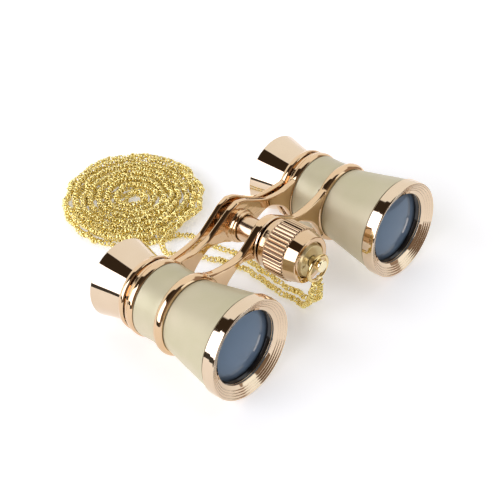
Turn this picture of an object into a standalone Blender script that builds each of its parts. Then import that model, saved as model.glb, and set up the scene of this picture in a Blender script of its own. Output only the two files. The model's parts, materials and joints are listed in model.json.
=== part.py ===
"""Pocket opera glasses with a front focus knob and a rope chain: the construction model.

Metres, +Z up. The glasses lie on the floor at z = 0, resting on both bezels and both eyecup rims. Their
objectives look to -Y and the origin lies under the middle of the glasses. Everything fixed to the barrels is
placed in the optics frame, an empty whose Y runs back along the optical axes and whose Z rises from them.
A station is a distance back from the bezels' front edge, and a rise is a height above the optical axes.
"""
import math

import bmesh
import bpy
from mathutils import Matrix, Vector

# Clearances and fineness
SEAT_GAP = 0.0003
LARGE_STEPS = 24
SMALL_STEPS = 20
ROD_STEPS = 16
MERGE_DISTANCE = 0.00001
QUARTER_TURN = math.radians(90)

# Layout of the glasses
BARREL_SPACING = 0.0752
AXIS_RISE = 0.0070

# Objective end
LENS_RADIUS = 0.0128
LENS_EDGE = 0.0025
LENS_SWELL = 0.0014
LENS_STATION = 0.0042
LENS_RINGS = 3
LENS_LIP = 0.0009
SHOULDER_THICKNESS = 0.0008
RETAINER_WIDTH = 0.0011
RETAINER_CHAMFER = 0.0006
OPENING_LIP = 0.00035
SPIGOT_WALL_FRONT = 0.0018
BEZEL_WALL = 0.0018
BEZEL_LENGTH = 0.0044
BEZEL_FACE = 0.0030
BEZEL_DISH = 0.0021
BEZEL_LAND = 0.00025
BEZEL_EDGE = 0.0003
BEZEL_NOSE = 0.0004
GROOVES = 4
GROOVE_PITCH = 0.00072
GROOVE_DEPTH = 0.00025

# Barrel and sleeve
BARREL_LENGTH = 0.0201
BARREL_STEP = 0.00025
BARREL_WALL = 0.0012
BACK_STEP = 0.0003
SPIGOT_WALL = 0.0009
SPIGOT_LENGTH = 0.0017
SLEEVE_LENGTH = 0.0095
SLEEVE_STEP = 0.00035
SLEEVE_FLARE = 0.00035
SLEEVE_BACK_FLARE = 0.0001
SLEEVE_WAIST = 0.0038
REAR_SPIGOT_LENGTH = 0.0025

# Bridges and their rings
FRONT_BRIDGE_THICKNESS = 0.0032
FRONT_RING_WALL = 0.0015
FRONT_RING_ROUND = 0.00115
FRONT_RING_SHOULDER = 0.0004
FRONT_RING_SHOULDER_DEPTH = 0.0006
FRONT_RING_CREST = 0.0018
FRONT_RING_BACK_ROUND = 0.0007
FRONT_RING_BACK_STEP = 0.00025
FRONT_RING_BACK_DEPTH = 0.0004
REAR_BRIDGE_THICKNESS = 0.0024
REAR_RING_WALL = 0.0007
REAR_LIP = 0.0009
REAR_BAND_ROUND = 0.00045
EYE_BRIDGE_THICKNESS = 0.0022
EYE_RING_WALL = 0.0015
EYE_RING_EDGE = 0.0003
EYE_RING_BACK_EDGE = 0.0004
FOCUS_GAP = 0.0011
WEB_INSET = 0.00015
WEB_ROUND = 0.0004
FRONT_HUB_RADIUS = 0.0080
REAR_HUB_RADIUS = 0.0059
HUB_ROUND = 0.0003
BOSS_RADIUS = 0.0056
BOSS_LENGTH = 0.0021
BOSS_STEP = 0.0009

# Eyepieces
DRAW_TUBE_RADIUS = 0.0110
DRAW_TUBE_WALL = 0.0010
DRAW_TUBE_LENGTH = 0.0145
EYECUP_LENGTH = 0.0117
EYECUP_NECK_STEP = 0.0001
EYECUP_RIM_RADIUS = 0.0136
EYECUP_RIM_ROUND = 0.0004
EYECUP_RIM_WIDTH = 0.00115
EYECUP_SPIGOT_LENGTH = 0.0023
EYECUP_FLOOR_STATION = 0.0051
EYE_LENS_RADIUS = 0.0085
EYE_LENS_EDGE = 0.0022
EYE_LENS_HOLLOW = 0.0005
EYE_LENS_RINGS = 2
EYE_LENS_SHOULDER = 0.0006
EYE_LENS_LIP = 0.0009
EYE_RETAINER_LENGTH = 0.0014
EYE_RETAINER_WIDTH = 0.0009

# Focus gear on the centre axis
CENTRE_TUBE_RADIUS = 0.0044
CENTRE_TUBE_WALL = 0.0007
POST_WALL = 0.0016
POST_LENGTH = 0.0140
SPINDLE_WALL_STATION = 0.0013
SPINDLE_COLLAR_LENGTH = 0.0012
SPINDLE_COLLAR_GAP = 0.0005
SPINDLE_END_GAP = 0.0026
CAP_HEAD_LENGTH = 0.0013
CAP_HEAD_RADIUS = 0.0039
CAP_HEAD_EDGE = 0.0005
CAP_DOME_RADIUS = 0.0029
CAP_DOME_DROP = 0.0002
CAP_SHANK_LENGTH = 0.0011
WASHER_THICKNESS = 0.0006
KNOB_FLANGE_RADIUS = 0.0085
KNOB_FLANGE_LENGTH = 0.0029
KNOB_RIB_RADIUS = 0.0093
KNOB_RIB_DEPTH = 0.0004
KNOB_RIB_LENGTH = 0.0085
KNOB_RIBS = 40
KNOB_RIB_LAND = 0.5
KNOB_RIB_VALLEY = 0.75
KNOB_COLLAR_LENGTH = 0.00415
KNOB_COLLAR_FRONT_RADIUS = 0.0079
KNOB_COLLAR_BACK_RADIUS = 0.0088
KNOB_ROUND = 0.0003
KNOB_SINK = 0.0006
KNOB_CORE_STEP = 0.0008
RECESS_RADIUS = 0.0062
RECESS_DEPTH = 0.0026
PLATE_PROUD = 0.00055
PLATE_FACE_RADIUS = 0.0054
PLATE_FACE_THICKNESS = 0.0014
PLATE_POCKET_RADIUS = 0.0033
PLATE_POCKET_DEPTH = 0.0012
PIN_HOLE_RADIUS = 0.00045
PIN_HOLE_OFFSET = 0.0037
PIN_HOLE_DEPTH = 0.0006
PIN_HOLE_STEPS = 8

# Chain stud and ring
STUD_NECK_RADIUS = 0.00165
STUD_HEAD_RADIUS = 0.00215
STUD_HEAD_LENGTH = 0.0009
STUD_REACH = 0.0046
RING_WIRE_RADIUS = 0.00065
RING_INNER_RADIUS = 0.0037
RING_SETBACK = 0.0027
RING_STEPS = 28
RING_WIRE_STEPS = 6

# Chain: strand, coil of piled loops, and the two strands that lead to it
STRAND = 0.0022
FLOOR_LIFT = 0.00002
COIL_CENTRE = (0.0035, 0.0945)
COIL_RADIUS = 0.0249
COIL_PITCH = 0.00285
COIL_TURNS = 7.25
CLIMB_TURNS = 0.5
CLIMB_TUCK = 0.0004
COIL_START = math.radians(-106)
COIL_END_SHORT = math.radians(6)
LAYER_RISE = 0.00280
LOOP_POINTS = 22
COIL_DRIFT = 0.0001
DRIFT_RATE_X = 0.31
DRIFT_RATE_Y = 0.23
LEAD_STEP = 0.0044
ROUTE_PARTS = 16
LEAD_SPREAD = 0.00135

# The strands' own routes behind the ring, across and back from the bezels' front edge, and height
LEAD_A_ROUTE = ((0.0019, 0.0066, 0.0112), (0.0032, 0.0086, 0.0058), (0.0046, 0.0114, 0.0022),
                (0.0052, 0.0155, 0.00112), (0.0047, 0.0210, 0.00112), (0.0050, 0.0280, 0.00112),
                (0.0061, 0.0360, 0.00112), (0.0060, 0.0440, 0.00112), (0.0050, 0.0510, 0.00112),
                (0.0038, 0.0570, 0.00112), (0.0036, 0.0620, 0.00112), (0.0026, 0.0662, 0.00112))
LEAD_B_ROUTE = ((-0.0013, 0.0068, 0.0114), (-0.0006, 0.0090, 0.0058), (0.0006, 0.0118, 0.0022),
                (0.0014, 0.0155, 0.00112), (0.0012, 0.0210, 0.00112), (0.0015, 0.0280, 0.00112),
                (0.0024, 0.0360, 0.00112), (0.0015, 0.0435, 0.00112), (-0.0006, 0.0490, 0.00112),
                (-0.0020, 0.0532, 0.00112), (-0.0036, 0.0568, 0.00112), (-0.0057, 0.0598, 0.00112),
                (-0.0079, 0.0622, 0.00112), (-0.0093, 0.0652, 0.0015), (-0.0083, 0.0683, 0.0027),
                (-0.0060, 0.0699, 0.0036))

# Radii that follow from what fits in what
LENS_SEAT_RADIUS = LENS_RADIUS + SEAT_GAP
FRONT_SPIGOT_RADIUS = LENS_SEAT_RADIUS + SPIGOT_WALL_FRONT
BEZEL_BORE = FRONT_SPIGOT_RADIUS + SEAT_GAP
BEZEL_RADIUS = BEZEL_BORE + BEZEL_WALL
OPENING_RADIUS = LENS_RADIUS - OPENING_LIP
BARREL_FRONT_RADIUS = BEZEL_RADIUS - BARREL_STEP
SLIDE_BORE = DRAW_TUBE_RADIUS + SEAT_GAP
SPIGOT_RADIUS = SLIDE_BORE + SPIGOT_WALL
RING_BORE = SPIGOT_RADIUS + SEAT_GAP
BARREL_BACK_RADIUS = SPIGOT_RADIUS + BACK_STEP
SLEEVE_RADIUS = SPIGOT_RADIUS + SLEEVE_STEP
FRONT_RING_RADIUS = RING_BORE + FRONT_RING_WALL
REAR_RING_RADIUS = RING_BORE + REAR_RING_WALL
EYE_RING_RADIUS = SLIDE_BORE + EYE_RING_WALL
EYECUP_NECK_RADIUS = DRAW_TUBE_RADIUS - EYECUP_NECK_STEP
EYECUP_SPIGOT_RADIUS = DRAW_TUBE_RADIUS - DRAW_TUBE_WALL - SEAT_GAP
EYE_SEAT_RADIUS = EYE_LENS_RADIUS + SEAT_GAP
POST_RADIUS = CENTRE_TUBE_RADIUS - CENTRE_TUBE_WALL - SEAT_GAP
POST_BORE = POST_RADIUS - POST_WALL
SPINDLE_RADIUS = POST_BORE - SEAT_GAP
NECK_BORE = STUD_NECK_RADIUS + SEAT_GAP
HUB_TUBE_BORE = CENTRE_TUBE_RADIUS + SEAT_GAP
HUB_POST_BORE = POST_RADIUS + SEAT_GAP

# Stations that follow from the lengths, front to back
BARREL_FRONT = BEZEL_LENGTH + SEAT_GAP
BARREL_BACK = BARREL_FRONT + BARREL_LENGTH
SPIGOT_FRONT = BEZEL_FACE + SEAT_GAP
FRONT_BRIDGE_FACE = BARREL_BACK + SEAT_GAP
FRONT_BRIDGE_BACK = FRONT_BRIDGE_FACE + FRONT_BRIDGE_THICKNESS
BARREL_SPIGOT_END = BARREL_BACK + SPIGOT_LENGTH
SLEEVE_FRONT = FRONT_BRIDGE_BACK + SEAT_GAP
SLEEVE_BACK = SLEEVE_FRONT + SLEEVE_LENGTH
SLEEVE_SPIGOT_FRONT = BARREL_SPIGOT_END + SEAT_GAP
REAR_BRIDGE_FACE = SLEEVE_BACK + SEAT_GAP
REAR_BRIDGE_BACK = REAR_BRIDGE_FACE + REAR_BRIDGE_THICKNESS
SLEEVE_SPIGOT_BACK = SLEEVE_BACK + REAR_SPIGOT_LENGTH
REAR_LIP_BACK = REAR_BRIDGE_BACK + REAR_LIP
EYE_BRIDGE_FACE = REAR_LIP_BACK + FOCUS_GAP
EYE_BRIDGE_BACK = EYE_BRIDGE_FACE + EYE_BRIDGE_THICKNESS
EYECUP_FRONT = EYE_BRIDGE_BACK + SEAT_GAP
EYECUP_BACK = EYECUP_FRONT + EYECUP_LENGTH
RIM_STATION = EYECUP_BACK - EYECUP_RIM_ROUND
LENS_EDGE_STATION = LENS_STATION + LENS_SWELL
LENS_BACK = LENS_EDGE_STATION + LENS_EDGE
SHOULDER_FRONT = LENS_BACK + SEAT_GAP
EYE_SHOULDER_BACK = EYECUP_FRONT + EYE_LENS_SHOULDER
EYE_LENS_FRONT = EYE_SHOULDER_BACK + SEAT_GAP
EYE_LENS_BACK = EYE_LENS_FRONT + EYE_LENS_EDGE
EYE_RETAINER_FRONT = EYE_LENS_BACK + SEAT_GAP
EYE_RETAINER_BACK = EYE_RETAINER_FRONT + EYE_RETAINER_LENGTH
EYECUP_FLOOR = EYECUP_FRONT + EYECUP_FLOOR_STATION
WASHER_BACK = FRONT_BRIDGE_FACE - SEAT_GAP
WASHER_FRONT = WASHER_BACK - WASHER_THICKNESS
KNOB_BACK = WASHER_FRONT - SEAT_GAP
KNOB_RIB_BACK = KNOB_BACK - KNOB_FLANGE_LENGTH
KNOB_RIB_FRONT = KNOB_RIB_BACK - KNOB_RIB_LENGTH
KNOB_FRONT = KNOB_RIB_FRONT - KNOB_COLLAR_LENGTH
RECESS_FLOOR = KNOB_FRONT + RECESS_DEPTH
PLATE_FRONT = KNOB_FRONT - PLATE_PROUD
PLATE_BACK = RECESS_FLOOR - SEAT_GAP
STUD_FRONT = PLATE_FRONT - STUD_REACH
RING_STATION = PLATE_FRONT - RING_SETBACK
HUB_WALL_BACK = FRONT_BRIDGE_FACE + SPINDLE_WALL_STATION
CENTRE_TUBE_FRONT = HUB_WALL_BACK + SEAT_GAP
POST_FRONT = EYE_BRIDGE_BACK - POST_LENGTH
SPINDLE_BACK = EYE_BRIDGE_BACK - SPINDLE_END_GAP

# Rise of the ring, which hangs round the stud's neck
RING_MIDDLE_RADIUS = RING_INNER_RADIUS + RING_WIRE_RADIUS
PIVOT_RISE = AXIS_RISE + STUD_NECK_RADIUS + SEAT_GAP + RING_WIRE_RADIUS

# How the glasses lie: both bezels and both eyecup rims touch the floor
TILT = math.atan((BEZEL_RADIUS - EYECUP_RIM_RADIUS) / (RIM_STATION - BEZEL_LENGTH + BEZEL_EDGE))
REST_HEIGHT = (BEZEL_LENGTH - BEZEL_EDGE) * math.sin(TILT) + BEZEL_RADIUS * math.cos(TILT)
FRONT_REACH = (BEZEL_RADIUS - BEZEL_NOSE) * math.sin(TILT)
BACK_REACH = EYECUP_BACK * math.cos(TILT) + (EYECUP_RIM_RADIUS - EYECUP_RIM_ROUND) * math.sin(TILT)
FRONT_EDGE_Y = -(BACK_REACH - FRONT_REACH) / 2

# Finishes: base colour, metallic, roughness
FINISHES = {
    "rose_gold": ((0.86, 0.60, 0.44), 1.0, 0.12),
    "pearl_lacquer": ((0.55, 0.49, 0.38), 0.6, 0.32),
    "black_anodised": ((0.012, 0.011, 0.010), 0.4, 0.25),
    "coated_glass": ((0.10, 0.15, 0.21), 0.0, 0.05),
    "gold_chain": ((0.85, 0.62, 0.16), 1.0, 0.25),
    "plate_brass": ((0.62, 0.50, 0.20), 1.0, 0.30),
    "turned_steel": ((0.60, 0.60, 0.58), 1.0, 0.30),
}


def clear_scene():
    """Removes every object of the scene."""
    for item in list(bpy.data.objects):
        bpy.data.objects.remove(item, do_unlink=True)


def new_collection(name):
    """Adds a collection to the scene."""
    collection = bpy.data.collections.new(name)
    bpy.context.scene.collection.children.link(collection)
    return collection


def new_empty(name, location, tilt, parent=None):
    """Adds an empty, turned about X."""
    empty = bpy.data.objects.new(name, None)
    empty.empty_display_size = 0.005
    empty.location = location
    empty.rotation_euler = (tilt, 0, 0)
    empty.parent = parent
    bpy.context.scene.collection.objects.link(empty)
    return empty


def paint(item, finish):
    """Gives an object a Principled material of its own."""
    colour, metallic, roughness = FINISHES[finish]
    material = bpy.data.materials.new(item.name + "_" + finish)
    material.use_nodes = True
    shader = material.node_tree.nodes["Principled BSDF"]
    shader.inputs["Base Color"].default_value = (*colour, 1)
    shader.inputs["Metallic"].default_value = metallic
    shader.inputs["Roughness"].default_value = roughness
    item.data.materials.clear()
    item.data.materials.append(material)


def place(item, parent, collection, across=0, station=0, rise=0):
    """Puts a shape, whose Z points forward, at its place in an optics frame."""
    collection.objects.link(item)
    item.parent = parent
    item.location = (across, station, rise)
    item.rotation_euler = (QUARTER_TURN, 0, 0)
    return item


def hide_tool(item):
    """Marks a shape as a tool of a Boolean."""
    item.hide_render = True
    item.display_type = "WIRE"


def turned(name, profile, steps):
    """Turns a profile of (radius, station) points, down its outer side first; it stays open at the axis."""
    mesh = bpy.data.meshes.new(name)
    vertices = [(radius, 0, -station) for radius, station in profile]
    edges = [(index, index + 1) for index in range(len(vertices) - 1)]
    if profile[0][0] > 0:
        edges.append((len(vertices) - 1, 0))
    mesh.from_pydata(vertices, edges, [])
    item = bpy.data.objects.new(name, mesh)
    screw = item.modifiers.new("turning", "SCREW")
    screw.steps = steps
    screw.render_steps = steps
    screw.use_merge_vertices = True
    screw.merge_threshold = MERGE_DISTANCE
    screw.use_smooth_shade = True
    return item


def to_mesh(curve_item):
    """Replaces a curve object by the closed mesh of its evaluated shape."""
    bpy.context.view_layer.update()
    graph = bpy.context.evaluated_depsgraph_get()
    mesh = bpy.data.meshes.new_from_object(curve_item.evaluated_get(graph))
    weld(mesh)
    name = curve_item.name
    matrix = curve_item.matrix_world.copy()
    curve = curve_item.data
    bpy.data.objects.remove(curve_item, do_unlink=True)
    bpy.data.curves.remove(curve)
    item = bpy.data.objects.new(name, mesh)
    item.matrix_world = matrix
    return item


def weld(mesh):
    """Merges a mesh's doubled corners, so that loose caps join their sides."""
    shape = bmesh.new()
    shape.from_mesh(mesh)
    bmesh.ops.remove_doubles(shape, verts=shape.verts, dist=MERGE_DISTANCE)
    bmesh.ops.recalc_face_normals(shape, faces=shape.faces)
    shape.to_mesh(mesh)
    shape.free()


def slab(name, outlines, thickness, edge_round):
    """A flat outline with rounded edges, its thickness along Z, made a mesh."""
    curve = bpy.data.curves.new(name, "CURVE")
    curve.dimensions = "2D"
    curve.fill_mode = "BOTH"
    curve.extrude = thickness / 2 - edge_round
    curve.bevel_depth = edge_round
    curve.bevel_resolution = 0
    curve.offset = -edge_round
    for add_outline in outlines:
        add_outline(curve)
    item = bpy.data.objects.new(name, curve)
    bpy.context.scene.collection.objects.link(item)
    return to_mesh(item)


def bezier_outline(points):
    """A closed smooth outline; a point marked False is a hidden corner."""
    def add(curve):
        spline = curve.splines.new("BEZIER")
        spline.bezier_points.add(len(points) - 1)
        for knot, (across, rise, smooth) in zip(spline.bezier_points, points):
            knot.co = (across, rise, 0)
            kind = "AUTO" if smooth else "VECTOR"
            knot.handle_left_type = kind
            knot.handle_right_type = kind
        spline.use_cyclic_u = True
        spline.resolution_u = 2
    return add


def straight_outline(points):
    """A closed outline of straight runs."""
    def add(curve):
        spline = curve.splines.new("POLY")
        spline.points.add(len(points) - 1)
        for knot, (across, rise) in zip(spline.points, points):
            knot.co = (across, rise, 0, 1)
        spline.use_cyclic_u = True
    return add


def combine(item, tools, operation):
    """Adds one exact Boolean modifier for each tool."""
    for tool in tools:
        hide_tool(tool)
        modifier = item.modifiers.new(tool.name, "BOOLEAN")
        modifier.operation = operation
        modifier.solver = "EXACT"
        modifier.object = tool


def objective_bezel(name):
    """Polished ring with a dished, grooved front; its front wall holds the lens retainer in."""
    nose_radius = BEZEL_RADIUS - BEZEL_NOSE
    land_radius = nose_radius - BEZEL_LAND
    slope = BEZEL_DISH / (land_radius - OPENING_RADIUS)
    profile = [(nose_radius, 0),
               (BEZEL_RADIUS - BEZEL_NOSE / 2, BEZEL_NOSE),
               (BEZEL_RADIUS, BEZEL_DISH),
               (BEZEL_RADIUS, BEZEL_LENGTH - BEZEL_EDGE),
               (BEZEL_RADIUS - BEZEL_EDGE, BEZEL_LENGTH),
               (BEZEL_BORE, BEZEL_LENGTH),
               (BEZEL_BORE, BEZEL_FACE),
               (OPENING_RADIUS, BEZEL_FACE),
               (OPENING_RADIUS, BEZEL_DISH)]
    for groove in range(GROOVES):
        crest = land_radius - (GROOVES - groove) * GROOVE_PITCH
        valley = crest + GROOVE_PITCH / 2
        profile.append((crest, (land_radius - crest) * slope))
        profile.append((valley, (land_radius - valley) * slope + GROOVE_DEPTH))
    profile.append((land_radius, 0))
    return turned(name, profile, LARGE_STEPS)


def lens_front(radius):
    """Station of the objective lens's front surface at a radius."""
    curvature = (LENS_RADIUS ** 2 + LENS_SWELL ** 2) / (2 * LENS_SWELL)
    return LENS_STATION + curvature - math.sqrt(curvature ** 2 - radius ** 2)


def lens_retainer(name):
    """Black ring that holds the objective lens on its shoulder."""
    inner = LENS_RADIUS - RETAINER_WIDTH
    back = lens_front(inner) - SEAT_GAP
    profile = [(LENS_RADIUS, SPIGOT_FRONT),
               (LENS_RADIUS, back),
               (inner, back),
               (inner, back - RETAINER_CHAMFER),
               (inner + RETAINER_CHAMFER, SPIGOT_FRONT)]
    return turned(name, profile, SMALL_STEPS)


def objective_lens(name):
    """Front lens, domed forward and flat behind."""
    radii = [LENS_RADIUS * ring / LENS_RINGS for ring in range(LENS_RINGS + 1)]
    profile = [(radius, lens_front(radius)) for radius in radii]
    profile += [(LENS_RADIUS, LENS_BACK), (0, LENS_BACK)]
    return turned(name, profile, SMALL_STEPS)


def front_barrel(name):
    """Lacquered cone with a front spigot for the bezel, a lens seat and a rear spigot."""
    slope = (BARREL_FRONT_RADIUS - BARREL_BACK_RADIUS) / BARREL_LENGTH
    lip_back = SHOULDER_FRONT + SHOULDER_THICKNESS
    hollow = BARREL_FRONT_RADIUS - slope * (lip_back - BARREL_FRONT) - BARREL_WALL
    profile = [(FRONT_SPIGOT_RADIUS, SPIGOT_FRONT),
               (FRONT_SPIGOT_RADIUS, BARREL_FRONT),
               (BARREL_FRONT_RADIUS, BARREL_FRONT),
               (BARREL_BACK_RADIUS, BARREL_BACK),
               (SPIGOT_RADIUS, BARREL_BACK),
               (SPIGOT_RADIUS, BARREL_SPIGOT_END),
               (SLIDE_BORE, BARREL_SPIGOT_END),
               (SLIDE_BORE, BARREL_BACK),
               (hollow, lip_back),
               (LENS_RADIUS - LENS_LIP, lip_back),
               (LENS_RADIUS - LENS_LIP, SHOULDER_FRONT),
               (LENS_SEAT_RADIUS, SHOULDER_FRONT),
               (LENS_SEAT_RADIUS, SPIGOT_FRONT)]
    return turned(name, profile, LARGE_STEPS)


def rear_sleeve(name):
    """Lacquered body tube between the fixed bridges, with a slight waist; it guides the draw tube."""
    profile = [(SPIGOT_RADIUS, SLEEVE_SPIGOT_FRONT),
               (SPIGOT_RADIUS, SLEEVE_FRONT),
               (SLEEVE_RADIUS + SLEEVE_FLARE, SLEEVE_FRONT),
               (SLEEVE_RADIUS, SLEEVE_FRONT + SLEEVE_WAIST),
               (SLEEVE_RADIUS + SLEEVE_BACK_FLARE, SLEEVE_BACK),
               (SPIGOT_RADIUS, SLEEVE_BACK),
               (SPIGOT_RADIUS, SLEEVE_SPIGOT_BACK),
               (SLIDE_BORE, SLEEVE_SPIGOT_BACK),
               (SLIDE_BORE, SLEEVE_SPIGOT_FRONT)]
    return turned(name, profile, LARGE_STEPS)


def draw_tube(name):
    """Polished tube that carries the eyecup and slides in the sleeve."""
    front = EYE_BRIDGE_BACK - DRAW_TUBE_LENGTH
    bore = DRAW_TUBE_RADIUS - DRAW_TUBE_WALL
    profile = [(DRAW_TUBE_RADIUS, front),
               (DRAW_TUBE_RADIUS, EYE_BRIDGE_BACK),
               (bore, EYE_BRIDGE_BACK),
               (bore, front)]
    return turned(name, profile, LARGE_STEPS)


def eyecup(name):
    """Polished flared cup with a spigot in the draw tube and a stepped seat for the eye lens."""
    spigot_front = EYECUP_FRONT - EYECUP_SPIGOT_LENGTH
    shoulder_radius = EYE_LENS_RADIUS - EYE_LENS_LIP
    rim_inner = EYECUP_RIM_RADIUS - EYECUP_RIM_ROUND - EYECUP_RIM_WIDTH
    profile = [(EYECUP_SPIGOT_RADIUS, spigot_front),
               (EYECUP_SPIGOT_RADIUS, EYECUP_FRONT),
               (EYECUP_NECK_RADIUS, EYECUP_FRONT),
               (EYECUP_RIM_RADIUS, RIM_STATION),
               (EYECUP_RIM_RADIUS - EYECUP_RIM_ROUND, EYECUP_BACK),
               (rim_inner, EYECUP_BACK),
               (EYE_SEAT_RADIUS + EYE_LENS_LIP, EYECUP_FLOOR),
               (EYE_SEAT_RADIUS, EYECUP_FLOOR),
               (EYE_SEAT_RADIUS, EYE_SHOULDER_BACK),
               (shoulder_radius, EYE_SHOULDER_BACK),
               (shoulder_radius, spigot_front)]
    return turned(name, profile, LARGE_STEPS)


def eye_lens(name):
    """Negative lens, hollow on both faces."""
    radii = [EYE_LENS_RADIUS * ring / EYE_LENS_RINGS for ring in range(EYE_LENS_RINGS + 1)]
    sag = [EYE_LENS_HOLLOW * (1 - (radius / EYE_LENS_RADIUS) ** 2) for radius in radii]
    profile = [(radius, EYE_LENS_FRONT + depth) for radius, depth in zip(radii, sag)]
    profile += [(radius, EYE_LENS_BACK - depth) for radius, depth in zip(reversed(radii), reversed(sag))]
    return turned(name, profile, SMALL_STEPS)


def eye_lens_retainer(name):
    """Black ring that holds the eye lens in its cup."""
    inner = EYE_LENS_RADIUS - EYE_RETAINER_WIDTH
    profile = [(EYE_LENS_RADIUS, EYE_RETAINER_FRONT),
               (EYE_LENS_RADIUS, EYE_RETAINER_BACK),
               (inner + RETAINER_CHAMFER, EYE_RETAINER_BACK),
               (inner, EYE_RETAINER_FRONT)]
    return turned(name, profile, SMALL_STEPS)


def centre_points(*points):
    """Outline points near the middle, given from the centre axis."""
    return [(across, AXIS_RISE + rise, True) for across, rise in points]


def ring_points(*points, smooth=True):
    """Outline points near a ring, given inwards from the optical axis."""
    return [(BARREL_SPACING / 2 - inward, rise, smooth) for inward, rise in points]


def bridge(name, half_outline, face, thickness, ring_profile, hub_profile, plug_radii, group, parent, tools):
    """An arched web, its outline mirrored, opened for its two ring bands and hub and joined to them."""
    mirrored = [(-across, rise, smooth) for across, rise, smooth in reversed(half_outline) if across > 0]
    web_thickness = thickness - 2 * WEB_INSET
    web = slab(name, [bezier_outline(half_outline + mirrored)], web_thickness, WEB_ROUND)
    place(web, parent, group, station=face + thickness / 2)
    ring_plug, hub_plug = (plug_profile(radius, face, face + thickness) for radius in plug_radii)
    plugs = [place(turned(name + "_hub_plug", hub_plug, SMALL_STEPS), parent, tools, rise=AXIS_RISE)]
    bands = [place(turned(name + "_hub", hub_profile, SMALL_STEPS), parent, tools, rise=AXIS_RISE)]
    for side, across in (("left", -BARREL_SPACING / 2), ("right", BARREL_SPACING / 2)):
        plugs.append(place(turned(name + "_plug_" + side, ring_plug, LARGE_STEPS), parent, tools, across))
        bands.append(place(turned(name + "_band_" + side, ring_profile, LARGE_STEPS), parent, tools, across))
    combine(web, plugs, "DIFFERENCE")
    combine(web, bands, "UNION")
    paint(web, "rose_gold")
    return web


def plug_profile(radius, front, back):
    """Profile of a plain round plug that stands past both the faces it cuts."""
    return [(0, front - SEAT_GAP), (radius, front - SEAT_GAP), (radius, back + SEAT_GAP), (0, back + SEAT_GAP)]


def front_bridge(group, parent, tools):
    """The front bridge, whose hub bears the spindle and holds the centre tube's front end."""
    half = centre_points((0, 0.0082), (0.0035, 0.0073), (0.0073, 0.0050), (0.0114, 0.0023))
    half += ring_points((0.0230, 0.0083), (0.0182, 0.0083), (0.0129, 0.0092), (0.0073, 0.0118),
                        (0.0046, 0.0130))
    half += ring_points((0.0010, 0.0060), (0.0040, -0.0060), smooth=False)
    half += ring_points((0.0122, -0.0069), (0.0140, -0.0030), (0.0167, 0.0012), (0.0202, 0.0039),
                        (0.0240, 0.0057))
    half += centre_points((0.0080, -0.0030), (0, -0.0050))
    face, back = FRONT_BRIDGE_FACE, FRONT_BRIDGE_BACK
    ring_edge = FRONT_RING_RADIUS - FRONT_RING_ROUND
    ring = [(ring_edge, face),
            (FRONT_RING_RADIUS - FRONT_RING_SHOULDER, face + FRONT_RING_SHOULDER_DEPTH),
            (FRONT_RING_RADIUS, face + FRONT_RING_CREST),
            (FRONT_RING_RADIUS - FRONT_RING_BACK_STEP, back - FRONT_RING_BACK_DEPTH),
            (FRONT_RING_RADIUS - FRONT_RING_BACK_ROUND, back),
            (RING_BORE, back),
            (RING_BORE, face)]
    hub = [(FRONT_HUB_RADIUS - HUB_ROUND, face),
           (FRONT_HUB_RADIUS, face + HUB_ROUND),
           (FRONT_HUB_RADIUS, back - HUB_ROUND),
           (FRONT_HUB_RADIUS - HUB_ROUND, back),
           (HUB_TUBE_BORE, back),
           (HUB_TUBE_BORE, HUB_WALL_BACK),
           (POST_BORE, HUB_WALL_BACK),
           (POST_BORE, face)]
    plugs = ((RING_BORE + ring_edge) / 2, (HUB_TUBE_BORE + FRONT_HUB_RADIUS) / 2)
    return bridge("front_bridge", half, face, FRONT_BRIDGE_THICKNESS, ring, hub, plugs, group, parent, tools)


def rear_bridge_half():
    """Half the outline of the two rear bridges' lower edge, from ring to middle."""
    half = ring_points((0.0010, 0.0060), (0.0040, -0.0060), smooth=False)
    half += ring_points((0.0113, -0.0066), (0.0132, -0.0030), (0.0158, 0.0014), (0.0200, 0.0046),
                        (0.0240, 0.0060))
    return half + centre_points((0.0080, -0.0025), (0.0045, -0.0043), (0, -0.0052))


def rear_bridge(group, parent, tools):
    """The rear fixed bridge, with a stepped collar round the centre tube and a lip behind each ring band."""
    half = centre_points((0, 0.0092), (0.0035, 0.0081), (0.0072, 0.0061), (0.0122, 0.0035))
    half += ring_points((0.0222, 0.0093), (0.0166, 0.0085), (0.0126, 0.0089), (0.0096, 0.0100),
                        (0.0066, 0.0114))
    half += rear_bridge_half()
    face, back, edge = REAR_BRIDGE_FACE, REAR_BRIDGE_BACK, REAR_BAND_ROUND
    spigot_end = SLEEVE_SPIGOT_BACK + SEAT_GAP
    ring = [(REAR_RING_RADIUS - edge, face),
            (REAR_RING_RADIUS, face + edge),
            (REAR_RING_RADIUS, back - edge),
            (REAR_RING_RADIUS - edge, back),
            (REAR_RING_RADIUS - edge, REAR_LIP_BACK),
            (SLIDE_BORE, REAR_LIP_BACK),
            (SLIDE_BORE, spigot_end),
            (RING_BORE, spigot_end),
            (RING_BORE, face)]
    boss_front = face - BOSS_LENGTH
    boss_step = boss_front + BOSS_STEP
    hub = [(BOSS_RADIUS - 2 * HUB_ROUND, boss_front),
           (BOSS_RADIUS - HUB_ROUND, boss_front + HUB_ROUND),
           (BOSS_RADIUS - HUB_ROUND, boss_step),
           (BOSS_RADIUS, boss_step),
           (BOSS_RADIUS, face),
           (REAR_HUB_RADIUS, face),
           (REAR_HUB_RADIUS, back),
           (HUB_TUBE_BORE, back),
           (HUB_TUBE_BORE, boss_front)]
    plugs = ((RING_BORE + REAR_RING_RADIUS - edge) / 2, (HUB_TUBE_BORE + REAR_HUB_RADIUS) / 2)
    return bridge("rear_bridge", half, face, REAR_BRIDGE_THICKNESS, ring, hub, plugs, group, parent, tools)


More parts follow.
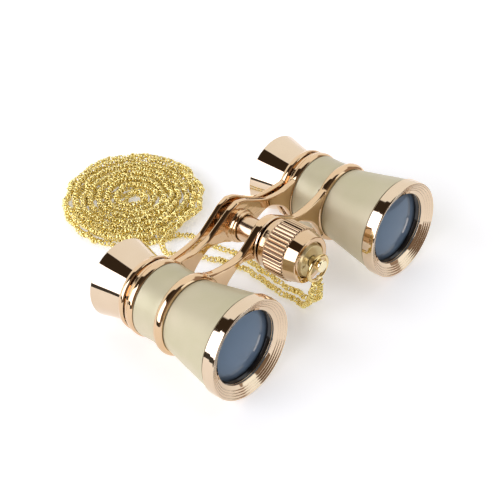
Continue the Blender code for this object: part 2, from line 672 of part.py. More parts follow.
def eyepiece_bridge(group, parent, tools):
    """The moving bridge, whose ring bands hold the draw tubes and whose hub holds the focus post."""
    half = centre_points((0, 0.0092), (0.0035, 0.0081), (0.0072, 0.0057), (0.0121, 0.0026))
    half += ring_points((0.0226, 0.0085), (0.0176, 0.0078), (0.0136, 0.0076), (0.0101, 0.0077))
    half += rear_bridge_half()
    face, back = EYE_BRIDGE_FACE, EYE_BRIDGE_BACK
    ring = [(EYE_RING_RADIUS - EYE_RING_EDGE, face),
            (EYE_RING_RADIUS, face + EYE_RING_EDGE),
            (EYE_RING_RADIUS, (face + back) / 2),
            (EYE_RING_RADIUS - EYE_RING_BACK_EDGE, back),
            (SLIDE_BORE, back),
            (SLIDE_BORE, face)]
    hub = [(REAR_HUB_RADIUS - HUB_ROUND, face),
           (REAR_HUB_RADIUS, face + HUB_ROUND),
           (REAR_HUB_RADIUS, back - HUB_ROUND),
           (REAR_HUB_RADIUS - HUB_ROUND, back),
           (HUB_POST_BORE, back),
           (HUB_POST_BORE, face)]
    plugs = ((SLIDE_BORE + EYE_RING_RADIUS - EYE_RING_BACK_EDGE) / 2, (HUB_POST_BORE + REAR_HUB_RADIUS) / 2)
    return bridge("eyepiece_bridge", half, face, EYE_BRIDGE_THICKNESS, ring, hub, plugs, group, parent, tools)


def on_circle(radius, angle):
    """A point of a circle."""
    return radius * math.cos(angle), radius * math.sin(angle)


def focus_knob(group, parent, tools):
    """Ribbed grip with a smooth collar in front and a flange behind, recessed for the end plate."""
    pitch = 2 * math.pi / KNOB_RIBS
    valley = KNOB_RIB_RADIUS - KNOB_RIB_DEPTH
    outline = []
    for rib in range(KNOB_RIBS):
        for share, radius in ((0, KNOB_RIB_RADIUS), (KNOB_RIB_LAND, KNOB_RIB_RADIUS),
                              (KNOB_RIB_VALLEY, valley)):
            outline.append(on_circle(radius, (rib + share) * pitch))
    core = KNOB_COLLAR_BACK_RADIUS - KNOB_CORE_STEP
    hole = [on_circle(core - KNOB_CORE_STEP, 2 * math.pi * (corner + 0.5) / LARGE_STEPS)
            for corner in range(LARGE_STEPS)]
    grip = slab("focus_knob", [straight_outline(outline), straight_outline(hole)], KNOB_RIB_LENGTH, 0)
    place(grip, parent, group, station=(KNOB_RIB_FRONT + KNOB_RIB_BACK) / 2)
    profile = [(KNOB_COLLAR_FRONT_RADIUS - KNOB_ROUND, KNOB_FRONT),
               (KNOB_COLLAR_FRONT_RADIUS, KNOB_FRONT + KNOB_ROUND),
               (KNOB_COLLAR_BACK_RADIUS, KNOB_RIB_FRONT - KNOB_ROUND),
               (KNOB_COLLAR_BACK_RADIUS, KNOB_RIB_FRONT + KNOB_SINK),
               (core, KNOB_RIB_FRONT + KNOB_SINK),
               (core, KNOB_RIB_BACK - KNOB_SINK),
               (KNOB_FLANGE_RADIUS, KNOB_RIB_BACK - KNOB_SINK),
               (KNOB_FLANGE_RADIUS, KNOB_BACK - KNOB_ROUND),
               (KNOB_FLANGE_RADIUS - KNOB_ROUND, KNOB_BACK),
               (POST_BORE, KNOB_BACK),
               (POST_BORE, RECESS_FLOOR),
               (RECESS_RADIUS, RECESS_FLOOR),
               (RECESS_RADIUS, KNOB_FRONT)]
    body = place(turned("knob_body", profile, LARGE_STEPS), parent, tools)
    combine(grip, [body], "UNION")
    paint(grip, "rose_gold")
    return grip


def knob_end_plate(group, parent, tools):
    """Brass plate in the knob's recess, bored for the stud's neck, with a pocket behind for its foot."""
    flange_radius = RECESS_RADIUS - SEAT_GAP
    step = PLATE_FRONT + PLATE_FACE_THICKNESS
    pocket = PLATE_BACK - PLATE_POCKET_DEPTH
    profile = [(PLATE_FACE_RADIUS - SEAT_GAP, PLATE_FRONT),
               (PLATE_FACE_RADIUS, PLATE_FRONT + SEAT_GAP),
               (PLATE_FACE_RADIUS, step),
               (flange_radius, step),
               (flange_radius, PLATE_BACK),
               (PLATE_POCKET_RADIUS, PLATE_BACK),
               (PLATE_POCKET_RADIUS, pocket),
               (NECK_BORE, pocket),
               (NECK_BORE, PLATE_FRONT)]
    plate = place(turned("knob_end_plate", profile, SMALL_STEPS), parent, group)
    hole = plug_profile(PIN_HOLE_RADIUS, PLATE_FRONT, PLATE_FRONT + PIN_HOLE_DEPTH)
    drill = place(turned("pin_hole", hole, PIN_HOLE_STEPS), parent, tools, across=-PIN_HOLE_OFFSET)
    combine(plate, [drill], "DIFFERENCE")
    paint(plate, "plate_brass")
    return plate


def focus_spindle(name):
    """Threaded rod from the knob to the post, with a collar behind the front bridge's bearing wall."""
    collar_radius = CENTRE_TUBE_RADIUS - CENTRE_TUBE_WALL - SPINDLE_COLLAR_GAP
    collar_back = CENTRE_TUBE_FRONT + SPINDLE_COLLAR_LENGTH
    profile = [(0, RECESS_FLOOR + SEAT_GAP), (SPINDLE_RADIUS, RECESS_FLOOR + SEAT_GAP),
               (SPINDLE_RADIUS, CENTRE_TUBE_FRONT), (collar_radius, CENTRE_TUBE_FRONT),
               (collar_radius, collar_back), (SPINDLE_RADIUS, collar_back),
               (SPINDLE_RADIUS, SPINDLE_BACK), (0, SPINDLE_BACK)]
    return turned(name, profile, ROD_STEPS)


def plain_tube(outer, inner, front, back):
    """Builder of a plain tube."""
    return lambda name: turned(name, [(outer, front), (outer, back), (inner, back), (inner, front)],
                               SMALL_STEPS)


def chain_stud(name):
    """Round-headed pin that holds the ring; its foot turns in the end plate's pocket."""
    foot_front = PLATE_BACK - PLATE_POCKET_DEPTH + SEAT_GAP
    foot_radius = PLATE_POCKET_RADIUS - SEAT_GAP
    head_back = STUD_FRONT + STUD_HEAD_LENGTH
    profile = [(0, STUD_FRONT), (STUD_HEAD_RADIUS - SEAT_GAP, STUD_FRONT),
               (STUD_HEAD_RADIUS, STUD_FRONT + SEAT_GAP), (STUD_HEAD_RADIUS, head_back - SEAT_GAP),
               (STUD_NECK_RADIUS, head_back), (STUD_NECK_RADIUS, foot_front), (foot_radius, foot_front),
               (foot_radius, PLATE_BACK), (0, PLATE_BACK)]
    return turned(name, profile, SMALL_STEPS)


def post_cap_screw(name):
    """Screw with a low domed head that closes the post behind the eyepiece bridge."""
    head_back = EYECUP_FRONT + CAP_HEAD_LENGTH
    profile = [(0, EYECUP_FRONT - CAP_SHANK_LENGTH), (SPINDLE_RADIUS, EYECUP_FRONT - CAP_SHANK_LENGTH),
               (SPINDLE_RADIUS, EYECUP_FRONT), (CAP_HEAD_RADIUS, EYECUP_FRONT),
               (CAP_HEAD_RADIUS, EYECUP_FRONT + CAP_HEAD_EDGE),
               (CAP_DOME_RADIUS, head_back - CAP_DOME_DROP), (0, head_back)]
    return turned(name, profile, SMALL_STEPS)


def chain_ring(group, pivot):
    """Closed wire ring that hangs upright, its top on the pivot."""
    bpy.ops.mesh.primitive_torus_add(major_radius=RING_MIDDLE_RADIUS, minor_radius=RING_WIRE_RADIUS,
                                     major_segments=RING_STEPS, minor_segments=RING_WIRE_STEPS)
    ring = bpy.context.object
    ring.name = "chain_ring"
    for collection in ring.users_collection:
        collection.objects.unlink(ring)
    ring.data.transform(Matrix.Rotation(QUARTER_TURN, 4, "X"))
    ring.data.transform(Matrix.Translation((0, 0, -RING_MIDDLE_RADIUS)))
    ring.data.shade_smooth()
    group.objects.link(ring)
    ring.parent = pivot
    paint(ring, "gold_chain")
    return ring


def coil_point(turn_angle, radius, height):
    """A point of the coil, its centre drifting slowly from turn to turn."""
    centre_x = COIL_CENTRE[0] + COIL_DRIFT * math.sin(DRIFT_RATE_X * turn_angle)
    centre_y = COIL_CENTRE[1] + FRONT_EDGE_Y + COIL_DRIFT * math.sin(DRIFT_RATE_Y * turn_angle)
    angle = COIL_START - turn_angle
    return Vector((centre_x + radius * math.cos(angle), centre_y + radius * math.sin(angle), height))


def coil_route():
    """Centre line of the coil: it spirals in on the floor, climbs in half a turn and spirals out on top."""
    full = 2 * math.pi
    inner = COIL_RADIUS - COIL_PITCH * COIL_TURNS
    low = STRAND / 2 + FLOOR_LIFT
    turned_in = COIL_TURNS * full
    climbed = turned_in + CLIMB_TURNS * full
    end = climbed + turned_in - COIL_END_SHORT
    count = round(end / full * LOOP_POINTS)
    points = []
    for index in range(count + 1):
        angle = end * index / count
        if angle <= turned_in:
            points.append(coil_point(angle, COIL_RADIUS - COIL_PITCH * angle / full, low))
        elif angle < climbed:
            share = (angle - turned_in) / (climbed - turned_in)
            lift = LAYER_RISE * (1 - math.cos(math.pi * share)) / 2
            tuck = CLIMB_TUCK * math.sin(math.pi * share)
            points.append(coil_point(angle, inner - tuck, low + lift))
        else:
            points.append(coil_point(angle, inner + COIL_PITCH * (angle - climbed) / full, low + LAYER_RISE))
    first = points[0] + (points[0] - points[1]).normalized() * STRAND
    last = points[-1] + (points[-1] - points[-2]).normalized() * STRAND
    return [first] + points + [last]


def least_self_gap(points):
    """Least distance between the coil's surfaces, past each point's own neighbours along the strand."""
    fine = []
    for start, end in zip(points, points[1:]):
        fine += [start.lerp(end, share / 4) for share in range(4)]
    apart = LOOP_POINTS
    least = min((one - other).length for index, one in enumerate(fine) for other in fine[index + apart:])
    return least - STRAND


def smooth_route(knots, step):
    """Points at even steps along a smooth curve through the knots."""
    before = knots[0] * 2 - knots[1]
    after = knots[-1] * 2 - knots[-2]
    line = [before] + knots + [after]
    fine = [knots[0]]
    for first, start, end, last in zip(line, line[1:], line[2:], line[3:]):
        for part in range(1, ROUTE_PARTS + 1):
            share = part / ROUTE_PARTS
            fine.append(((start * 2) + (end - first) * share
                         + (first * 2 - start * 5 + end * 4 - last) * share ** 2
                         + (start * 3 - first - end * 3 + last) * share ** 3) / 2)
    lengths = [0]
    for start, end in zip(fine, fine[1:]):
        lengths.append(lengths[-1] + (end - start).length)
    count = max(2, round(lengths[-1] / step))
    points = []
    index = 0
    for stop in range(count + 1):
        target = lengths[-1] * stop / count
        while index < len(fine) - 2 and lengths[index + 1] < target:
            index += 1
        share = (target - lengths[index]) / (lengths[index + 1] - lengths[index])
        points.append(fine[index].lerp(fine[index + 1], share))
    return points


def strand_tube(name, points, resolution, group):
    """A round strand of the chain as one tube with closed ends."""
    curve = bpy.data.curves.new(name, "CURVE")
    curve.dimensions = "3D"
    curve.bevel_depth = STRAND / 2
    curve.bevel_resolution = resolution
    curve.use_fill_caps = True
    spline = curve.splines.new("POLY")
    spline.points.add(len(points) - 1)
    for knot, point in zip(spline.points, points):
        knot.co = (*point, 1)
    item = bpy.data.objects.new(name, curve)
    group.objects.link(item)
    paint(item, "gold_chain")
    return item


def floor_route(route):
    """Route points moved from the bezels' front edge to the origin."""
    return [Vector((across, back + FRONT_EDGE_Y, height)) for across, back, height in route]


def chain(group, ring_bottom):
    """The closed chain: two strands down from the ring and back to the coil, and the coil."""
    coil = coil_route()
    down = Vector((0, 0, -1))
    strand_tube("chain_coil", coil, 1, group)
    ends = (("chain_lead_a", LEAD_A_ROUTE, LEAD_SPREAD, coil[0], coil[0] - coil[1]),
            ("chain_lead_b", LEAD_B_ROUTE, -LEAD_SPREAD, coil[-1], coil[-1] - coil[-2]))
    for name, route, across, meeting, away in ends:
        top = ring_bottom + Vector((across, 0, 0)) + down * SEAT_GAP
        heading = away.normalized()
        butt = meeting + heading * SEAT_GAP
        knots = [top, top + down * STRAND] + floor_route(route) + [butt + heading * STRAND, butt]
        strand_tube(name, smooth_route(knots, LEAD_STEP), 2, group)
    print("least gap of the coil to itself: %.2f mm" % (least_self_gap(coil) * 1000))
    print("length of the coil: %.3f m" % sum((b - a).length for a, b in zip(coil, coil[1:])))


def main():
    """Builds the glasses and the chain."""
    clear_scene()
    group = new_collection("opera_glasses")
    tools = new_collection("cutters")
    optics = new_empty("optics_frame", (0, FRONT_EDGE_Y, REST_HEIGHT), -TILT)
    gear = new_empty("focus_axis", (0, 0, AXIS_RISE), 0, optics)
    pivot = new_empty("ring_pivot", (0, RING_STATION, PIVOT_RISE), TILT, optics)
    pairs = (("objective_bezel", objective_bezel, "rose_gold"),
             ("lens_retainer", lens_retainer, "black_anodised"),
             ("objective_lens", objective_lens, "coated_glass"),
             ("front_barrel", front_barrel, "pearl_lacquer"),
             ("rear_sleeve", rear_sleeve, "pearl_lacquer"),
             ("draw_tube", draw_tube, "rose_gold"),
             ("eyecup", eyecup, "rose_gold"),
             ("eye_lens", eye_lens, "coated_glass"),
             ("eye_lens_retainer", eye_lens_retainer, "black_anodised"))
    for side, across in (("left", -BARREL_SPACING / 2), ("right", BARREL_SPACING / 2)):
        for name, make, finish in pairs:
            paint(place(make(name + "_" + side), optics, group, across), finish)
    front_bridge(group, optics, tools)
    rear_bridge(group, optics, tools)
    eyepiece_bridge(group, optics, tools)
    focus_knob(group, gear, tools)
    knob_end_plate(group, gear, tools)
    centre = (("centre_tube", plain_tube(CENTRE_TUBE_RADIUS, CENTRE_TUBE_RADIUS - CENTRE_TUBE_WALL,
                                         CENTRE_TUBE_FRONT, REAR_BRIDGE_BACK), "rose_gold"),
              ("thrust_washer", plain_tube(KNOB_FLANGE_RADIUS, POST_BORE, WASHER_FRONT, WASHER_BACK),
               "rose_gold"),
              ("focus_post", plain_tube(POST_RADIUS, POST_BORE, POST_FRONT, EYE_BRIDGE_BACK), "turned_steel"),
              ("focus_spindle", focus_spindle, "turned_steel"),
              ("post_cap_screw", post_cap_screw, "rose_gold"),
              ("chain_stud", chain_stud, "plate_brass"))
    for name, make, finish in centre:
        paint(place(make(name), gear, group), finish)
    chain_ring(group, pivot)
    bpy.context.view_layer.update()
    drop = Vector((0, 0, -2 * RING_MIDDLE_RADIUS - RING_WIRE_RADIUS))
    chain(group, pivot.matrix_world.translation + drop)


main()
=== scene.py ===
"""Dressed scene of the pocket opera glasses with their rope chain.

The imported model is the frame. Every turned piece, bridge, knob and strand is made again as a fine mesh in the
same place, with its own procedural finish. Metres, +Z up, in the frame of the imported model. A station is a
distance back from the bezels' front edge along the optical axes, and a rise is a height above them. The
section of a turned piece is a row of corners, each with its radius, its station and, where it is rounded, its
rounding.
"""
from __future__ import annotations

import json
import logging
import math
from dataclasses import dataclass, field
from enum import Enum
from typing import Iterable, Sequence

import bmesh
import bpy
from mathutils import Matrix, Vector

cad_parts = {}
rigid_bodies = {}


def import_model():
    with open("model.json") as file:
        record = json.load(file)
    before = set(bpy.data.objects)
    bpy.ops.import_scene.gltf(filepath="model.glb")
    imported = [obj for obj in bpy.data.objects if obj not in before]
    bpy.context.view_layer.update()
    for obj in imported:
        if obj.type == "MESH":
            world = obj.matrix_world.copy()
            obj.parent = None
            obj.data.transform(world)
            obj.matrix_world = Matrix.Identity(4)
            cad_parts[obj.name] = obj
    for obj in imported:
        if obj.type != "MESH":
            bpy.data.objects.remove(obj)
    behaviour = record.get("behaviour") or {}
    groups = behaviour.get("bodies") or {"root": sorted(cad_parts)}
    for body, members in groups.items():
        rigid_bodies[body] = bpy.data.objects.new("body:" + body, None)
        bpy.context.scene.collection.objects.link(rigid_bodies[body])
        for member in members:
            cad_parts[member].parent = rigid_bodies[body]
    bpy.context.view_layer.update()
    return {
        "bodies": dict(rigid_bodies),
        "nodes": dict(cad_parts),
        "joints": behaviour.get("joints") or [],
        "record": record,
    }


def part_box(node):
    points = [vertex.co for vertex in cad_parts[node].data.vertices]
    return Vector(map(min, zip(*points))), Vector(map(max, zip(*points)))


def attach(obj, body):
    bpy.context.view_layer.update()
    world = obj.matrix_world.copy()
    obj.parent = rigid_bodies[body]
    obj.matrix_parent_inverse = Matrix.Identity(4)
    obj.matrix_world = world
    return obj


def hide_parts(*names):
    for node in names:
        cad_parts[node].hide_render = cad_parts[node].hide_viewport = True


LOG = logging.getLogger("opera_glasses")

Point = tuple[float, float, float]
Knot = tuple[float, float]
Corner = tuple[float, ...]

SEAT_GAP = 0.0003
CRISP = 0.0001
EASED = 0.0002
ROUNDED = 0.0003
LONGEST_ROUNDING = 0.48
LATHE_STEPS = 144
ARC_STEP = math.radians(20)
SHARP_ANGLE = math.radians(42)
MERGE_DISTANCE = 0.000002
FULL_TURN = 2 * math.pi


class Side(Enum):
    """The two barrels, by the sign of their place across."""

    LEFT = -1
    RIGHT = 1

    @property
    def suffix(self) -> str:
        """Ending of the side's node names."""
        return self.name.lower()


class Slot(Enum):
    """Material slots of the record."""

    ROSE_GOLD = "rose_gold"
    PEARL_LACQUER = "pearl_lacquer"
    BLACK_ANODISED = "black_anodised"
    COATED_GLASS = "coated_glass"
    GOLD_CHAIN = "gold_chain"
    PLATE_BRASS = "plate_brass"
    TURNED_STEEL = "turned_steel"


class NodeBuilder:
    """A node tree that is built up by short calls."""

    def __init__(self, tree: bpy.types.NodeTree) -> None:
        """Starts on a tree."""
        self.tree = tree

    def feed(self, socket: bpy.types.NodeSocket, value: object) -> None:
        """Links a socket to another node's result, or sets it to a constant.

        Args:
            socket: The socket.
            value: The result or the constant.
        """
        if isinstance(value, bpy.types.NodeSocket):
            self.tree.links.new(value, socket)
        else:
            socket.default_value = value

    def add(self, kind: str, inputs: dict[object, object] | None = None,
            **settings: object) -> bpy.types.Node:
        """Adds a node.

        Args:
            kind: Blender's name of the node type.
            inputs: Constants and other nodes' results, by the input's name or number.
            **settings: Properties of the node.

        Returns:
            The new node.
        """
        node = self.tree.nodes.new(kind)
        for name, value in settings.items():
            setattr(node, name, value)
        for name, value in (inputs or {}).items():
            self.feed(node.inputs[name], value)
        return node

    def math(self, operation: str, *values: object) -> bpy.types.NodeSocket:
        """Adds a sum, product or other function of numbers."""
        return self.add("ShaderNodeMath", dict(enumerate(values)), operation=operation).outputs[0]

    def mix(self, share: object, first: object, second: object, **settings: object) -> bpy.types.NodeSocket:
        """Mixes a second colour into a first one by its share."""
        mixed = self.add("ShaderNodeMix", {0: share, 6: first, 7: second}, data_type="RGBA", **settings)
        return mixed.outputs[2]


class Shader(NodeBuilder):
    """A material with one Principled shader."""

    def __init__(self, name: str) -> None:
        """Adds the material under its name.

        Args:
            name: Name of the material.
        """
        self.material = bpy.data.materials.new(name)
        self.material.use_nodes = True
        super().__init__(self.material.node_tree)
        self.surface = self.tree.nodes["Principled BSDF"]
        self.place = self.add("ShaderNodeTexCoord").outputs["Object"]

    def paint(self, **values: object) -> None:
        """Feeds the shader's own sockets, underscores standing for blanks."""
        for name, value in values.items():
            self.feed(self.surface.inputs[name.replace("_", " ")], value)

    def noise(self, scale: float, detail: float = 2.0, rough: float = 0.5,
              stretch: Point = (1.0, 1.0, 1.0)) -> bpy.types.NodeSocket:
        """Adds a noise on the piece's own coordinates.

        Args:
            scale: Cells to the metre.
            detail: Octaves.
            rough: Strength of the finer octaves.
            stretch: Factors on the three coordinates.

        Returns:
            The noise's value.
        """
        mapping = self.add("ShaderNodeMapping", {"Vector": self.place, "Scale": stretch})
        return self.add("ShaderNodeTexNoise", {"Vector": mapping.outputs["Vector"], "Scale": scale,
                                               "Detail": detail, "Roughness": rough}).outputs["Fac"]

    def blend(self, value: bpy.types.NodeSocket, first: Point, second: Point,
              start: float = 0.3, end: float = 0.7) -> bpy.types.NodeSocket:
        """Turns a value into a colour between two.

        Args:
            value: The driving value.
            first: Colour up to the start.
            second: Colour from the end on.
            start: Value at which the first colour ends.
            end: Value at which the second colour begins.

        Returns:
            The colour.
        """
        ramp = self.add("ShaderNodeValToRGB", {"Fac": value})
        for element, place, colour in zip(ramp.color_ramp.elements, (start, end), (first, second)):
            element.position = place
            element.color = (*colour, 1.0)
        return ramp.outputs["Color"]

    def spread(self, value: bpy.types.NodeSocket, low: float, high: float,
               start: float = 0.3, end: float = 0.7) -> bpy.types.NodeSocket:
        """Maps a value between two limits.

        Args:
            value: The driving value.
            low: Result at the start.
            high: Result at the end.
            start: Value at which the result is low.
            end: Value at which the result is high.

        Returns:
            The mapped value.
        """
        return self.add("ShaderNodeMapRange", {"Value": value, "From Min": start, "From Max": end,
                                               "To Min": low, "To Max": high}).outputs["Result"]

    def bump(self, height: bpy.types.NodeSocket, distance: float, strength: float = 1.0) -> None:
        """Raises the surface by a height map.

        Args:
            height: Height from 0 to 1.
            distance: Height in metres that 1 stands for.
            strength: Share of the effect.
        """
        bump = self.add("ShaderNodeBump", {"Height": height, "Distance": distance, "Strength": strength})
        self.paint(Normal=bump.outputs["Normal"])

    def about(self, axis: Matrix) -> bpy.types.NodeSocket:
        """Coordinates in the frame of an axis."""
        inputs = {"Vector": self.place, "Location": axis.to_translation(), "Rotation": axis.to_euler()}
        return self.add("ShaderNodeMapping", inputs, vector_type="TEXTURE").outputs["Vector"]

    def turned(self, axis: Matrix) -> tuple[bpy.types.NodeSocket, bpy.types.NodeSocket]:
        """Finds where a point lies on a piece turned about an axis.

        Args:
            axis: Frame of the axis, whose Y runs along it.

        Returns:
            The point's distance from the axis and its station along it.
        """
        apart = self.add("ShaderNodeSeparateXYZ", {"Vector": self.about(axis)})
        flat = self.add("ShaderNodeCombineXYZ", {"X": apart.outputs["X"], "Z": apart.outputs["Z"]})
        length = self.add("ShaderNodeVectorMath", {0: flat.outputs["Vector"]}, operation="LENGTH")
        return length.outputs["Value"], apart.outputs["Y"]


@dataclass(frozen=True)
class PolishedPlating:
    """Mirror-bright plating with faint haze and fine polishing marks, in rose gold unless told otherwise."""

    name: str
    colour: Point = (0.775, 0.62, 0.455)
    shade: Point = (0.745, 0.585, 0.42)
    roughness: float = 0.03
    haze: float = 0.03
    haze_scale: float = 90.0
    haze_detail: float = 3.0
    scratch_scale: float = 2600.0
    scratch_rough: float = 0.6
    scratch_stretch: Point = (1.0, 0.15, 1.0)
    scratch_depth: float = 0.0000006

    def material(self) -> bpy.types.Material:
        """Builds the finish.

        Returns:
            The material.
        """
        shader = Shader(self.name)
        cloud = shader.noise(self.haze_scale, self.haze_detail)
        shader.paint(Metallic=1.0, Base_Color=self.tone(shader, cloud),
                     Roughness=shader.spread(cloud, self.roughness, self.roughness + self.haze))
        marks = shader.noise(self.scratch_scale, rough=self.scratch_rough, stretch=self.scratch_stretch)
        shader.bump(marks, self.scratch_depth)
        return shader.material

    def tone(self, shader: Shader, cloud: bpy.types.NodeSocket) -> bpy.types.NodeSocket:
        """Colour of the plating, a little warmer where it is hazy."""
        return shader.blend(cloud, self.shade, self.colour)


@dataclass(frozen=True)
class GripPlating(PolishedPlating):
    """The same plating on the knob, the grooves between its ribs darkened to brown by painted shade."""

    axis: Matrix = field(default_factory=Matrix)
    front: float = 0.0
    back: float = 0.0
    # painted shade: the dark brown laid into the grooves, where the ribs shade each other
    groove: Point = (0.20, 0.12, 0.075)
    groove_radius: float = 0.00890
    crest_radius: float = 0.00925
    fade: float = 0.0004

    def tone(self, shader: Shader, cloud: bpy.types.NodeSocket) -> bpy.types.NodeSocket:
        """Colour of the plating, darkened by painted shade in the grooves of the ribbed part.

        Args:
            shader: The finish's shader.
            cloud: Its haze.

        Returns:
            The colour.
        """
        radius, station = shader.turned(self.axis)
        # mask of the painted shade: full at the bottom of the grooves, none on the crests, only along the
        # ribbed length
        depth = shader.spread(radius, 1.0, 0.0, self.groove_radius, self.crest_radius)
        begun = shader.spread(station, 0.0, 1.0, self.front, self.front + self.fade)
        ended = shader.spread(station, 1.0, 0.0, self.back - self.fade, self.back)
        share = shader.math("MULTIPLY", shader.math("MULTIPLY", begun, ended), depth)
        return shader.mix(share, super().tone(shader, cloud), (*self.groove, 1.0))


@dataclass(frozen=True)
class PearlLacquer:
    """Champagne lacquer over fine pearl flakes, under a clear coat."""

    name: str = "pearl_lacquer"
    colour: Point = (0.53, 0.48, 0.30)
    pale: Point = (0.615, 0.54, 0.375)
    cloud_scale: float = 75.0
    cloud_start: float = 0.25
    cloud_end: float = 0.75
    flake_scale: float = 9000.0
    flake_depth: float = 0.000004
    flake_strength: float = 0.25
    metal: float = 0.35
    smoothest: float = 0.42
    roughest: float = 0.58
    coat: float = 0.2
    coat_roughness: float = 0.10
    coat_ior: float = 1.4

    def material(self) -> bpy.types.Material:
        """Builds the finish.

        Returns:
            The material.
        """
        shader = Shader(self.name)
        cloud = shader.noise(self.cloud_scale)
        tone = shader.blend(cloud, self.colour, self.pale, self.cloud_start, self.cloud_end)
        cells = shader.add("ShaderNodeTexVoronoi", {"Vector": shader.place, "Scale": self.flake_scale},
                           feature="F1")
        flakes = shader.add("ShaderNodeSeparateColor", {"Color": cells.outputs["Color"]})
        shader.paint(Metallic=self.metal, Base_Color=tone, Coat_Weight=self.coat, Coat_IOR=self.coat_ior,
                     Coat_Roughness=self.coat_roughness,
                     Roughness=shader.spread(flakes.outputs["Red"], self.smoothest, self.roughest, 0.0, 1.0))
        shader.bump(flakes.outputs["Green"], self.flake_depth, self.flake_strength)
        return shader.material


@dataclass(frozen=True)
class BlackRing:
    """Glossy black anodising of the lens retainers."""

    name: str = "black_anodised"
    colour: Point = (0.006, 0.0055, 0.0055)
    bloom: Point = (0.011, 0.010, 0.010)
    grain_scale: float = 1500.0
    smoothest: float = 0.14
    roughest: float = 0.22
    shine: float = 0.35
    coat: float = 0.6
    coat_roughness: float = 0.03

    def material(self) -> bpy.types.Material:
        """Builds the finish.

        Returns:
            The material.
        """
        shader = Shader(self.name)
        grain = shader.noise(self.grain_scale)
        shader.paint(Metallic=0.0, Base_Color=shader.blend(grain, self.colour, self.bloom),
                     Roughness=shader.spread(grain, self.smoothest, self.roughest), Coat_Weight=self.coat,
                     Coat_Roughness=self.coat_roughness, Specular_IOR_Level=self.shine)
        return shader.material


@dataclass(frozen=True)
class CoatedGlass:
    """Lens drawn opaque: its colour is painted shade standing for the dim inside of the barrel seen through the
    glass, darker at the rim, and its blue coating tints its reflections.
    """

    name: str
    # painted shade: the dim inside of the barrel seen through the glass
    middle: Point = (0.140, 0.200, 0.290)
    # painted shade: darker still at the rim, by the barrel wall and the retaining ring
    edge: Point = (0.060, 0.090, 0.130)
    coating: Point = (0.36, 0.68, 1.0)
    rim_start: float = 0.80
    rim_end: float = 0.97
    ior: float = 1.55
    shine: float = 0.5
    dust_scale: float = 700.0
    smoothest: float = 0.03
    roughest: float = 0.06

    def material(self, axis: Matrix, radius: float) -> bpy.types.Material:
        """Builds the finish.

        Args:
            axis: Frame of the lens's own axis.
            radius: Radius of the lens.

        Returns:
            The material.
        """
        shader = Shader(self.name)
        # mask of the painted shade at the rim, from the lens's middle to its edge
        share = shader.spread(shader.turned(axis)[0], 0.0, 1.0, 0.0, radius)
        dust = shader.noise(self.dust_scale)
        shader.paint(Metallic=0.0, IOR=self.ior, Specular_IOR_Level=self.shine,
                     Specular_Tint=(*self.coating, 1.0),
                     Base_Color=shader.blend(share, self.middle, self.edge, self.rim_start, self.rim_end),
                     Roughness=shader.spread(dust, self.smoothest, self.roughest))
        return shader.material


@dataclass(frozen=True)
class TurnedMetal:
    """Metal with the fine rings that a lathe leaves on its face."""

    name: str
    colour: Point
    shade: Point
    roughness: float
    metal: float = 1.0
    unevenness: float = 0.1
    cloud_scale: float = 500.0
    cloud_detail: float = 3.0
    ring_scale: float = 1250 / 3
    ring_distortion: float = 0.6
    ring_detail: float = 1.0
    ring_depth: float = 0.0000015
    ring_strength: float = 0.6

    def material(self, axis: Matrix) -> bpy.types.Material:
        """Builds the finish.

        Args:
            axis: Frame of the axis that the piece is turned about.

        Returns:
            The material.
        """
        shader = Shader(self.name)
        inputs = {"Vector": shader.about(axis), "Scale": self.ring_scale, "Distortion": self.ring_distortion,
                  "Detail": self.ring_detail}
        waves = shader.add("ShaderNodeTexWave", inputs, wave_type="RINGS", rings_direction="Y")
        rings = waves.outputs["Fac"]
        cloud = shader.noise(self.cloud_scale, self.cloud_detail)
        rough = shader.spread(rings, self.roughness, self.roughness + self.unevenness, 0.0, 1.0)
        shader.paint(Metallic=self.metal, Base_Color=shader.blend(cloud, self.shade, self.colour),
                     Roughness=rough)
        shader.bump(rings, self.ring_depth, self.ring_strength)
        return shader.material


@dataclass(frozen=True)
class StudioFloor:
    """Smooth pale light table, lit a little from below."""

    name: str = "studio_floor"
    colour: Point = (0.86, 0.86, 0.865)
    roughness: float = 0.9
    shine: float = 0.1
    light: Point = (1.0, 1.0, 1.0)
    glow: float = 0.35

    def material(self) -> bpy.types.Material:
        """Builds the finish.

        Returns:
            The material.
        """
        shader = Shader(self.name)
        shader.paint(Base_Color=(*self.colour, 1.0), Roughness=self.roughness, Specular_IOR_Level=self.shine,
                     Emission_Color=(*self.light, 1.0), Emission_Strength=self.glow)
        return shader.material


